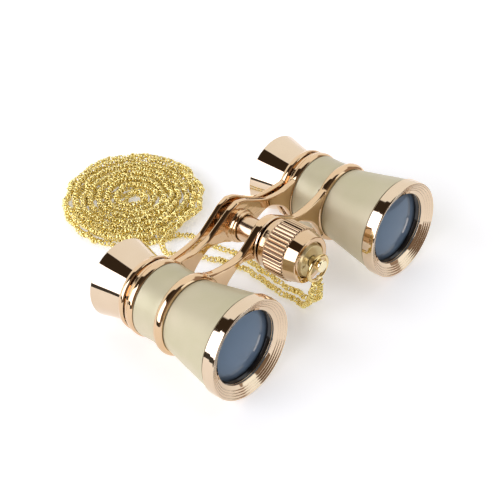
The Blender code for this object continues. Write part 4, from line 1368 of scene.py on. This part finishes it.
@dataclass
class FocusGear:
    """The focus knob with its end plate, and the parts on the centre axis behind it."""

    optics: Optics
    finishes: Finishes
    ribs: int = 40
    rib_points: int = 12
    rib_rows: int = 34
    rib_radius: float = 0.00932
    rib_depth: float = 0.00048
    rib_front: float = 0.0125
    rib_back: float = 0.0210
    rib_end: float = 0.00055
    rib_sharpness: float = 1.15
    end_rounding: float = 0.9
    grip_bore: float = 0.0068
    grip_bore_past: float = 0.001
    # painted shade: a darker, browner copy of the rose gold for the whole knob
    grip_colour: Point = (0.74, 0.54, 0.35)
    grip_shade: Point = (0.69, 0.49, 0.30)
    knob_back: float = 0.0239
    face_radius: float = 0.0079
    face_round: float = 0.0004
    collar_radius: float = 0.0088
    collar_end: float = 0.00015
    tenon_front: float = 0.0086
    tenon_radius: float = 0.0078
    tenon_past: float = 0.0007
    flange_radius: float = 0.0085
    flange_round: float = 0.0011
    recess: float = 0.0062
    recess_floor: float = 0.01095
    recess_edge: float = 0.00012
    spindle_bore: float = 0.0018
    plate_front: float = 0.0078
    plate_radius: float = 0.0054
    plate_step: float = 0.0014
    plate_boss: tuple[float, float] = (0.0033, 0.0012)
    stud_bore: float = 0.00195
    pin_hole: float = 0.00045
    pin_depth: float = 0.0009
    pin_start: float = 0.001
    pin_offset: float = 0.0037
    pin_steps: int = 24
    spindle: Sequence[Corner] = ((0, 0.01125), (0.0015, 0.01125), (0.0015, 0.0267), (0.0032, 0.0267),
                                 (0.0032, 0.0279), (0.0015, 0.0279), (0.0015, 0.0424, CRISP), (0, 0.0424))
    spindle_steps: int = 48
    washer: Sequence[Corner] = ((0.0018, 0.0248), (0.0018, 0.0242), (0.0085, 0.0242, 0.00015),
                                (0.0085, 0.0248, 0.00015))
    tube: Sequence[Corner] = ((0.0037, 0.0408), (0.0037, 0.0267), (0.0044, 0.0267, CRISP),
                              (0.0044, 0.0408, CRISP))
    post: Sequence[Corner] = ((0.0018, 0.0450), (0.0018, 0.0310), (0.0034, 0.0310, CRISP), (0.0034, 0.0450))
    post_steps: int = 72
    cap: Sequence[Corner] = ((0, 0.0442), (0.0015, 0.0442), (0.0015, 0.0453), (0.0039, 0.0453, CRISP),
                             (0.0039, 0.0458, ROUNDED), (0.0029, 0.0464, 0.0008), (0, 0.0466))
    cap_steps: int = 96

    def grip(self, plating: bpy.types.Material) -> bpy.types.Object:
        """Makes the ribbed grip: a cylinder whose side is drawn in between its ribs.

        Args:
            plating: The grip's finish.

        Returns:
            The grip, in place.
        """
        item = new_item("knob_grip", bpy.data.meshes.new("knob_grip"))
        tree = GeometryTree("knob_ribs")
        ribs = tree.value("Ribs", "Int", self.ribs)
        radius, depth, length, end = tree.numbers(Radius=self.rib_radius, Rib_Depth=self.rib_depth,
                                                  Length=self.rib_back - self.rib_front, Rib_End=self.rib_end)
        sizes = {"Vertices": self.ribs * self.rib_points, "Side Segments": self.rib_rows, "Radius": radius,
                 "Depth": length}
        body = tree.add("GeometryNodeMeshCylinder", sizes, fill_type="TRIANGLE_FAN")
        place = tree.add("ShaderNodeSeparateXYZ", {0: tree.add("GeometryNodeInputPosition").outputs[0]})
        across, above, along = place.outputs
        angle = tree.math("MULTIPLY", tree.math("ARCTAN2", above, across), ribs)
        wave = tree.math("MULTIPLY_ADD", tree.math("COSINE", angle), 0.5, 0.5)
        valley = tree.math("POWER", wave, self.rib_sharpness)
        room = tree.math("SUBTRACT", tree.math("MULTIPLY", length, 0.5), tree.math("ABSOLUTE", along))
        fade = tree.add("ShaderNodeMapRange", {"Value": tree.math("DIVIDE", room, end)},
                        interpolation_type="SMOOTHSTEP").outputs["Result"]
        rounding = tree.math("MULTIPLY", tree.math("SUBTRACT", 1.0, fade),
                             tree.math("MULTIPLY", depth, self.end_rounding))
        sink = tree.math("ADD", tree.math("MULTIPLY", tree.math("MULTIPLY", valley, fade), depth), rounding)
        scale = tree.math("DIVIDE", tree.math("SUBTRACT", radius, sink), radius)
        moved = tree.add("ShaderNodeCombineXYZ", {0: tree.math("MULTIPLY", across, scale),
                                                  1: tree.math("MULTIPLY", above, scale), 2: along})
        shaped = tree.add("GeometryNodeSetPosition", {"Geometry": body.outputs["Mesh"],
                                                      "Position": moved.outputs[0]})
        tree.run(item, shaped.outputs["Geometry"], plating)
        middle = Matrix.Translation((0, (self.rib_front + self.rib_back) / 2, 0))
        item.data.transform(self.optics.gear @ middle @ Matrix.Rotation(math.pi / 2, 4, "X"))
        return item

    def knob(self, plating: bpy.types.Material) -> bpy.types.Object:
        """Makes the knob: grip, smooth collar, flange and recess in one.

        Args:
            plating: The knob's finish.

        Returns:
            The knob, in place.
        """
        item = self.grip(plating)
        gear = self.optics.gear
        front = self.optics.knob_front
        bore_front, bore_back = self.rib_front - self.grip_bore_past, self.rib_back + self.grip_bore_past
        tenon_front, tenon_back = self.rib_front + self.tenon_past, self.rib_back - self.tenon_past
        hollow = lathe("grip_hollow", ((0.0, bore_front), (self.grip_bore, bore_front),
                                       (self.grip_bore, bore_back), (0.0, bore_back)), gear)
        body = lathe("knob_body", ((self.spindle_bore, self.knob_back),
                                   (self.spindle_bore, self.recess_floor),
                                   (self.recess, self.recess_floor), (self.recess, front, self.recess_edge),
                                   (self.face_radius, front, self.face_round),
                                   (self.collar_radius, self.rib_front - self.collar_end, EASED),
                                   (self.tenon_front, tenon_front - CRISP), (self.tenon_radius, tenon_front),
                                   (self.tenon_radius, tenon_back), (self.flange_radius, tenon_back + CRISP),
                                   (self.flange_radius, self.knob_back, self.flange_round)), gear)
        carve(item, hollow, "DIFFERENCE")
        carve(item, body, "UNION")
        smooth(item)
        return item

    def plate(self) -> bpy.types.Object:
        """Makes the turned end plate, with its pin hole and the bore for the stud.

        Returns:
            The plate, in place.
        """
        step = self.plate_front + self.plate_step
        back = self.recess_floor - SEAT_GAP
        flange = self.recess - SEAT_GAP
        boss, boss_depth = self.plate_boss
        item = lathe("end_plate", ((self.stud_bore, back - boss_depth),
                                   (self.stud_bore, self.plate_front, CRISP),
                                   (self.plate_radius, self.plate_front, EASED), (self.plate_radius, step),
                                   (flange, step), (flange, back), (boss, back), (boss, back - boss_depth)),
                     self.optics.gear)
        start, end = self.plate_front - self.pin_start, self.plate_front + self.pin_depth
        drill = lathe("pin_drill", ((0.0, start), (self.pin_hole, start), (self.pin_hole, end), (0.0, end)),
                      self.optics.gear @ Matrix.Translation((-self.pin_offset, 0, 0)), self.pin_steps)
        carve(item, drill, "DIFFERENCE")
        smooth(item)
        return item

    def build(self) -> None:
        """Makes and dresses the pieces on the focus axis."""
        gear = self.optics.gear
        # the knob's plating carries painted shade: a browner tone overall and dark grooves between the ribs
        plating = GripPlating("grip_gold_plating", self.grip_colour, self.grip_shade, axis=gear,
                              front=self.rib_front, back=self.rib_back).material()
        dress(self.knob(plating), plating, Slot.ROSE_GOLD, "focus", "focus_knob")
        dress(self.plate(), self.finishes.brass, Slot.PLATE_BRASS, "focus", "knob_end_plate")
        spindle = lathe("spindle", self.spindle, gear, self.spindle_steps)
        dress(spindle, self.finishes.steel, Slot.TURNED_STEEL, "focus", "focus_spindle")
        washer = lathe("washer", self.washer, gear)
        dress(washer, self.finishes.rose_gold, Slot.ROSE_GOLD, "frame", "thrust_washer")
        tube = lathe("middle_tube", self.tube, gear)
        dress(tube, self.finishes.tube_gold, Slot.ROSE_GOLD, "frame", "centre_tube")
        post = lathe("sliding_post", self.post, gear, self.post_steps)
        dress(post, self.finishes.steel, Slot.TURNED_STEEL, "eyepieces", "focus_post")
        cap = lathe("cap_screw", self.cap, gear, self.cap_steps)
        dress(cap, self.finishes.rose_gold, Slot.ROSE_GOLD, "eyepieces", "post_cap_screw")


@dataclass
class StudAndRing:
    """The stud in the end plate and the wire ring that hangs on it."""

    optics: Optics
    finishes: Finishes
    stud_front: float = 0.0032
    stud_steps: int = 72
    head_radius: float = 0.00215
    head_round: float = 0.0004
    head_length: float = 0.0009
    neck_radius: float = 0.00165
    foot_front: float = 0.00975
    foot_back: float = 0.01065
    foot_radius: float = 0.0030
    wire: float = 0.00065
    wire_steps: int = 20
    ring_radius: float = 0.00435
    ring_steps: int = 96

    def stud(self) -> bpy.types.Object:
        """Makes the round-headed stud."""
        back = self.stud_front + self.head_length
        return lathe("stud", ((0.0, self.stud_front), (self.head_radius, self.stud_front, self.head_round),
                              (self.head_radius, back, EASED), (self.neck_radius, back, CRISP),
                              (self.neck_radius, self.foot_front), (self.foot_radius, self.foot_front),
                              (self.foot_radius, self.foot_back), (0.0, self.foot_back)),
                     self.optics.gear, self.stud_steps)

    def ring(self) -> bpy.types.Object:
        """Makes the closed wire ring, upright in the CAD ring's own box.

        Returns:
            The ring, in place.
        """
        low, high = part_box("chain_ring")
        section = [(self.ring_radius + self.wire * math.cos(angle), self.wire * math.sin(angle))
                   for angle in turns(self.wire_steps)]
        return lathe("hanging_ring", section, Matrix.Translation((low + high) / 2), self.ring_steps)

    def build(self) -> None:
        """Makes and dresses both pieces."""
        dress(self.stud(), self.finishes.stud_gold, Slot.PLATE_BRASS, "stud", "chain_stud")
        dress(self.ring(), self.finishes.ring_gold, Slot.GOLD_CHAIN, "ring", "chain_ring")


@dataclass
class RopeChain:
    """The closed rope chain: down from the ring, back under the bridges and round in a flat coil.

    The route repeats the construction model's, across and back from the bezels' front edge, and height. The
    links then wander about it and settle a little, as a loose chain does.
    """

    optics: Optics
    finishes: Finishes
    strand: float = 0.0022
    floor_lift: float = 0.00002
    coil_centre: tuple[float, float] = (0.0035, 0.0945)
    coil_radius: float = 0.0249
    coil_pitch: float = 0.00285
    coil_turns: float = 7.25
    climb_turns: float = 0.5
    climb_tuck: float = 0.0004
    coil_start: float = math.radians(-106)
    coil_end_short: float = math.radians(6)
    layer_rise: float = 0.00280
    loop_points: int = 22
    drift: float = 0.0001
    drift_rate_x: float = 0.31
    drift_rate_y: float = 0.23
    lead_step: float = 0.0044
    lead_parts: int = 16
    lead_spread: float = 0.00135
    lead_a: Sequence[Point] = (
        (0.0019, 0.0066, 0.0112), (0.0032, 0.0086, 0.0058), (0.0046, 0.0114, 0.0022),
        (0.0052, 0.0155, 0.00112), (0.0047, 0.0210, 0.00112), (0.0050, 0.0280, 0.00112),
        (0.0061, 0.0360, 0.00112), (0.0060, 0.0440, 0.00112), (0.0050, 0.0510, 0.00112),
        (0.0038, 0.0570, 0.00112), (0.0036, 0.0620, 0.00112), (0.0026, 0.0662, 0.00112))
    lead_b: Sequence[Point] = (
        (-0.0013, 0.0068, 0.0114), (-0.0006, 0.0090, 0.0058), (0.0006, 0.0118, 0.0022),
        (0.0014, 0.0155, 0.00112), (0.0012, 0.0210, 0.00112), (0.0015, 0.0280, 0.00112),
        (0.0024, 0.0360, 0.00112), (0.0015, 0.0435, 0.00112), (-0.0006, 0.0490, 0.00112),
        (-0.0020, 0.0532, 0.00112), (-0.0036, 0.0568, 0.00112), (-0.0057, 0.0598, 0.00112),
        (-0.0079, 0.0622, 0.00112), (-0.0093, 0.0652, 0.0015), (-0.0083, 0.0683, 0.0027),
        (-0.0060, 0.0699, 0.0036))
    path_step: float = 0.0012
    path_parts: int = 4
    link_pitch: float = 0.00060
    link_radius: float = 0.00083
    link_wire: float = 0.00027
    link_sides: int = 9
    wire_sides: int = 4
    link_offset: float = 0.00025
    link_turn: float = math.radians(205)
    link_tilt: float = math.radians(42)
    wander: Point = (0.0047, 0.0047, 0.0018)
    wander_rate: float = 0.095
    wander_detail: float = 2.0
    layer_shift: float = 0.0006
    tuck: float = 0.0009
    tuck_reach: float = 0.0085
    slide: Point = (-0.0008, -0.0003, 0.0)
    slide_reach: float = 0.012

    @property
    def front_edge(self) -> float:
        """Y of the bezels' front edge."""
        return self.optics.origin.y

    @property
    def inner_radius(self) -> float:
        """Radius of the coil's innermost turn."""
        return self.coil_radius - self.coil_pitch * self.coil_turns

    def coil_point(self, turn: float, radius: float, height: float) -> Vector:
        """A point of the coil, its centre drifting slowly from turn to turn.

        Args:
            turn: Angle run through from the coil's start.
            radius: Distance from the coil's centre.
            height: Height above the floor.

        Returns:
            The point.
        """
        across = self.coil_centre[0] + self.drift * math.sin(self.drift_rate_x * turn)
        back = self.coil_centre[1] + self.front_edge + self.drift * math.sin(self.drift_rate_y * turn)
        angle = self.coil_start - turn
        return Vector((across + radius * math.cos(angle), back + radius * math.sin(angle), height))

    def coil(self) -> list[Vector]:
        """Centre line of the coil: in on the floor, up in half a turn and out again on top.

        Returns:
            The line's points, a little past both ends.
        """
        low = self.strand / 2 + self.floor_lift
        turned_in = self.coil_turns * FULL_TURN
        climbed = turned_in + self.climb_turns * FULL_TURN
        end = climbed + turned_in - self.coil_end_short
        count = round(end / FULL_TURN * self.loop_points)
        points = []
        for index in range(count + 1):
            turn = end * index / count
            if turn <= turned_in:
                radius, height = self.coil_radius - self.coil_pitch * turn / FULL_TURN, low
            elif turn < climbed:
                share = (turn - turned_in) / (climbed - turned_in)
                radius = self.inner_radius - self.climb_tuck * math.sin(math.pi * share)
                height = low + self.layer_rise * (1 - math.cos(math.pi * share)) / 2
            else:
                radius = self.inner_radius + self.coil_pitch * (turn - climbed) / FULL_TURN
                height = low + self.layer_rise
            points.append(self.coil_point(turn, radius, height))
        first = points[0] + (points[0] - points[1]).normalized() * self.strand
        last = points[-1] + (points[-1] - points[-2]).normalized() * self.strand
        return [first, *points, last]

    def lead(self, route: Sequence[Point], across: float, meeting: Vector, away: Vector) -> list[Vector]:
        """Centre line of a strand from the ring to the coil.

        Args:
            route: The strand's own points.
            across: Place of its top under the ring.
            meeting: End of the coil.
            away: Direction in which the coil ends.

        Returns:
            The strand's points, from the ring.
        """
        low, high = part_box("chain_ring")
        top = Vector(((low.x + high.x) / 2 + across, (low.y + high.y) / 2, low.z - SEAT_GAP))
        heading = away.normalized()
        butt = meeting + heading * SEAT_GAP
        knots = [top, top - Vector((0, 0, self.strand))]
        knots += [Vector((x, y + self.front_edge, z)) for x, y, z in route]
        knots += [butt + heading * self.strand, butt]
        return even_line(smooth_line(knots, self.lead_parts), self.lead_step)

    def route(self) -> list[Vector]:
        """Centre line of the whole chain, from the ring round to the ring.

        Returns:
            The line's points, at even steps.
        """
        coil = self.coil()
        lead_a = self.lead(self.lead_a, self.lead_spread, coil[0], coil[0] - coil[1])
        lead_b = self.lead(self.lead_b, -self.lead_spread, coil[-1], coil[-1] - coil[-2])
        return even_line(smooth_line(lead_a + coil + lead_b[::-1], self.path_parts), self.path_step)

    def settled(self, point: Vector) -> Vector:
        """Moves a point of the coil as a loose chain settles.

        Args:
            point: A point of the centre line.

        Returns:
            The point, closer to the middle in the innermost turns, the upper layer beside the lower one, and
            the whole coil a little further left.
        """
        middle = Vector((self.coil_centre[0], self.coil_centre[1] + self.front_edge, point.z))
        apart = point - middle
        innermost = share_of(self.tuck_reach - apart.length, self.tuck_reach - self.inner_radius)
        inside = share_of(self.coil_radius - apart.length, self.coil_pitch)
        above = share_of(point.z - self.strand / 2, self.layer_rise)
        move = self.layer_shift * (2 * above - 1) * inside - self.tuck * innermost
        slid = share_of(self.coil_radius + self.slide_reach - apart.length, self.slide_reach)
        return point + apart.normalized() * move + Vector(self.slide) * slid

    def link(self, tree: GeometryTree) -> bpy.types.NodeSocket:
        """Makes one link, set off from the line and tipped across it.

        Args:
            tree: The chain's tree.

        Returns:
            The link's shape.
        """
        radius, wire, offset, tilt = tree.numbers(Link_Radius=self.link_radius, Wire_Radius=self.link_wire,
                                                  Offset=self.link_offset, Tilt=self.link_tilt)
        kind = "GeometryNodeCurvePrimitiveCircle"
        circle = tree.add(kind, {"Resolution": self.link_sides, "Radius": radius})
        section = tree.add(kind, {"Resolution": self.wire_sides, "Radius": wire})
        loop = tree.add("GeometryNodeCurveToMesh", {"Curve": circle.outputs["Curve"],
                                                    "Profile Curve": section.outputs["Curve"]})
        soft = tree.add("GeometryNodeSetShadeSmooth", {"Geometry": loop.outputs["Mesh"]})
        shift = tree.add("ShaderNodeCombineXYZ", {"X": offset})
        swing = tree.add("ShaderNodeCombineXYZ", {"Y": tilt})
        tipped = tree.add("GeometryNodeTransform", {"Geometry": soft.outputs["Geometry"],
                                                    "Translation": shift.outputs[0],
                                                    "Rotation": swing.outputs[0]})
        return tipped.outputs["Geometry"]

    def spots(self, tree: GeometryTree, line: bpy.types.Object,
              index: bpy.types.NodeSocket) -> bpy.types.NodeSocket:
        """Finds the links' places, which wander a little about the line.

        Args:
            tree: The chain's tree.
            line: The object with the centre line.
            index: Number of each link.

        Returns:
            The places, on a curve.
        """
        thread = tree.value("Line", "Object", line)
        pitch, rate = tree.numbers(Link_Pitch=self.link_pitch, Wander_Rate=self.wander_rate)
        wander = tree.value("Wander", "Vector", self.wander)
        info = tree.add("GeometryNodeObjectInfo", {"Object": thread}, transform_space="RELATIVE")
        even = tree.add("GeometryNodeResampleCurve", {"Curve": info.outputs["Geometry"], "Length": pitch},
                        mode="LENGTH")
        place = tree.add("ShaderNodeCombineXYZ", {"X": tree.math("MULTIPLY", index, rate)})
        stray = tree.add("ShaderNodeTexNoise", {"Vector": place.outputs[0], "Scale": 1.0,
                                                "Detail": self.wander_detail})
        centred = tree.add("ShaderNodeVectorMath", {0: stray.outputs["Color"], 1: (0.5, 0.5, 0.5)},
                           operation="SUBTRACT")
        swerve = tree.add("ShaderNodeVectorMath", {0: centred.outputs["Vector"], 1: wander},
                          operation="MULTIPLY")
        return tree.add("GeometryNodeSetPosition", {"Geometry": even.outputs["Curve"],
                                                    "Offset": swerve.outputs["Vector"]}).outputs["Geometry"]

    def links(self, path: Sequence[Vector]) -> bpy.types.Object:
        """Makes the chain's links along a path, each turned on from the one before.

        Args:
            path: The chain's centre line.

        Returns:
            One mesh of all links.
        """
        curve = line_curve("chain_line", [self.settled(point) for point in path], "3D")
        line = new_item("chain_line", curve)
        item = new_item("rope_chain", bpy.data.meshes.new("rope_chain"))
        tree = GeometryTree("chain_links")
        index = tree.add("GeometryNodeInputIndex").outputs["Index"]
        turn, = tree.numbers(Turn=self.link_turn)
        tangent = tree.add("GeometryNodeInputTangent").outputs["Tangent"]
        along = tree.add("FunctionNodeAlignRotationToVector", {"Vector": tangent}, axis="Z")
        roll = tree.add("FunctionNodeAxisAngleToRotation", {"Angle": tree.math("MULTIPLY", index, turn),
                                                            "Axis": (0, 0, 1)})
        rolled = tree.add("FunctionNodeRotateRotation", {"Rotation": along.outputs["Rotation"],
                                                         "Rotate By": roll.outputs["Rotation"]},
                          rotation_space="LOCAL")
        placed = tree.add("GeometryNodeInstanceOnPoints", {"Points": self.spots(tree, line, index),
                                                           "Instance": self.link(tree),
                                                           "Rotation": rolled.outputs["Rotation"]})
        tree.run(item, placed.outputs["Instances"], self.finishes.chain_gold)
        bpy.data.objects.remove(line)
        bpy.data.curves.remove(curve)
        return item

    def build(self) -> None:
        path = self.route()
        item = self.links(path)
        dress(item, self.finishes.chain_gold, Slot.GOLD_CHAIN, "frame", "chain_lead_a", "chain_coil",
              "chain_lead_b")


@dataclass(frozen=True)
class Panel:
    """An upright panel of light or dark round the glasses, its place and edges given in degrees.

    Args:
        name: Name of the panel.
        azimuth: Direction that the panel stands in, turning from the front to the right.
        left: Edge to the left of that direction.
        right: Edge to the right of it.
        low: Height of its lower edge.
        high: Height of its upper edge, seen straight on.
        soft: Width of its soft edges.
        light: Its colour and strength.
        flat: Whether it is a plane, not a part of a round wall.
    """

    name: str
    azimuth: float
    left: float
    right: float
    low: float
    high: float
    soft: float
    light: Point
    flat: bool = False

    def over(self, world: NodeBuilder, view: bpy.types.NodeSocket,
             behind: bpy.types.NodeSocket) -> bpy.types.NodeSocket:
        """Lays the panel over what stands behind it.

        Args:
            world: The world's node tree.
            view: The direction looked in.
            behind: Light without the panel.

        Returns:
            Light with the panel.
        """
        def along(direction: Point) -> bpy.types.NodeSocket:
            """Share of the view that runs in a direction."""
            product = world.add("ShaderNodeVectorMath", {0: view, 1: direction}, operation="DOT_PRODUCT")
            return product.outputs["Value"]

        def edge(value: bpy.types.NodeSocket, limit: float, sign: float) -> bpy.types.NodeSocket:
            """Soft step at one edge, 1 on the panel's own side.

            Args:
                value: The angle looked at.
                limit: The edge, in degrees.
                sign: 1 for a lower or left edge, -1 for the opposite one.

            Returns:
                The step's value.
            """
            half = sign * math.radians(self.soft) / 2
            place = math.radians(limit)
            inputs = {"Value": value, "From Min": place - half, "From Max": place + half}
            step = world.add("ShaderNodeMapRange", inputs, interpolation_type="SMOOTHSTEP")
            return step.outputs["Result"]

        def between(value: bpy.types.NodeSocket, low: float, high: float) -> bpy.types.NodeSocket:
            """Share that is 1 between two edges."""
            return world.math("MULTIPLY", edge(value, low, 1), edge(value, high, -1))

        turn = math.radians(self.azimuth)
        forward = along((math.sin(turn), -math.cos(turn), 0))
        sideways = along((math.cos(turn), math.sin(turn), 0))
        level = world.math("SQRT", world.math("ADD", world.math("MULTIPLY", forward, forward),
                                              world.math("MULTIPLY", sideways, sideways)))
        bearing = world.math("ARCTAN2", sideways, forward)
        height = world.math("ARCTAN2", along((0, 0, 1)), forward if self.flat else level)
        mask = world.math("MULTIPLY", between(bearing, self.left, self.right),
                          between(height, self.low, self.high))
        return world.mix(mask, behind, (*self.light, 1.0), name=self.name)


@dataclass
class Studio:
    """The pale floor, the soft light and the camera at the photograph's angle."""

    optics: Optics
    azimuth: float = math.radians(-47.309)
    elevation: float = math.radians(40.267)
    roll: float = math.radians(-0.827)
    distance: float = 0.4365
    target: Point = (-0.000507, 0.034207, 0.01404)
    lens: float = 95.36
    sensor: float = 36.0
    nearest: float = 0.01
    floor_corners: Sequence[Knot] = ((-0.185, -0.035), (-0.035, -0.128), (0.260, 0.065), (0.500, 0.200),
                                     (0.500, 0.500), (-0.185, 0.500))
    wall: Point = (1.03, 1.03, 1.02)
    backdrop: Point = (1.0, 1.0, 1.0)
    panels: Sequence[Panel] = (
        Panel("dark_ceiling", azimuth=-118, left=-54, right=58, low=28, high=92, soft=6,
              light=(0.040, 0.027, 0.017)),
        Panel("front_room", azimuth=-20, left=-42, right=42, low=-92, high=92, soft=5,
              light=(0.22, 0.16, 0.12)),
        Panel("front_room_top", azimuth=-20, left=-46, right=60, low=44, high=92, soft=14,
              light=(0.06, 0.045, 0.035)),
        Panel("right_room", azimuth=56, left=-16, right=24, low=-92, high=30, soft=4,
              light=(0.37, 0.28, 0.225)),
        Panel("side_shadow", azimuth=-101, left=-44, right=41, low=-92, high=3, soft=1,
              light=(0.06, 0.055, 0.05)),
        Panel("side_softbox", azimuth=-102, left=-36, right=40, low=2, high=52, soft=2,
              light=(3.2, 3.25, 3.6), flat=True),
        Panel("front_softbox", azimuth=31, left=-10, right=10, low=-14, high=43, soft=2,
              light=(1.22, 1.30, 1.34)))

    def camera(self) -> None:
        """Adds the camera, aimed as the photograph was taken."""
        data = bpy.data.cameras.new("camera")
        data.lens = self.lens
        data.sensor_width = self.sensor
        data.sensor_fit = "HORIZONTAL"
        data.clip_start = self.nearest
        level = math.cos(self.elevation)
        back = Vector((math.sin(self.azimuth) * level, -math.cos(self.azimuth) * level,
                       math.sin(self.elevation)))
        right = Vector((math.cos(self.azimuth), math.sin(self.azimuth), 0))
        up = back.cross(right)
        across = right * math.cos(self.roll) + up * math.sin(self.roll)
        above = up * math.cos(self.roll) - right * math.sin(self.roll)
        place = Matrix((across, above, back)).transposed().to_4x4()
        place.translation = Vector(self.target) + Vector((0, self.optics.origin.y, 0)) + back * self.distance
        camera = new_item("camera", data)
        camera.matrix_world = place
        bpy.context.scene.camera = camera

    def floor(self) -> None:
        """Adds the pale floor, a table that ends a little outside the picture."""
        shape = bmesh.new()
        shape.faces.new([shape.verts.new((across, back, 0)) for across, back in self.floor_corners])
        mesh = bpy.data.meshes.new("floor")
        shape.to_mesh(mesh)
        shape.free()
        mesh.materials.append(StudioFloor().material())
        new_item("floor", mesh)

    def sky(self) -> None:
        """Adds the light walls, the softboxes and the dark side of the room, and a plain white backdrop."""
        scenery = bpy.data.worlds.new("studio")
        scenery.use_nodes = True
        bpy.context.scene.world = scenery
        world = NodeBuilder(scenery.node_tree)
        view = world.add("ShaderNodeTexCoord").outputs["Generated"]
        light = world.add("ShaderNodeRGB").outputs[0]
        light.default_value = (*self.wall, 1.0)
        for panel in self.panels:
            light = panel.over(world, view, light)
        seen = world.add("ShaderNodeLightPath").outputs["Is Camera Ray"]
        plain = world.mix(seen, light, (*self.backdrop, 1.0), name="plain_backdrop")
        world.feed(world.tree.nodes["Background"].inputs["Color"], plain)

    def build(self) -> None:
        """Sets up the studio."""
        bpy.context.scene.view_settings.view_transform = "Standard"
        self.floor()
        self.sky()
        self.camera()


def main() -> None:
    """Loads the frame and builds every piece round it."""
    logging.basicConfig(level=logging.INFO, format="%(message)s")
    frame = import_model()
    optics = Optics.of_frame(frame)
    Studio(optics).build()
    finishes = Finishes(optics)
    RopeChain(optics, finishes).build()
    for side in Side:
        for part in (Objective, Barrel, Eyepiece):
            part(optics, finishes, side).build()
    for bridge in (Bridge, RearBridge, EyepieceBridge):
        bridge(optics, finishes).build()
    FocusGear(optics, finishes).build()
    StudAndRing(optics, finishes).build()


if __name__ == "__main__":
    main()
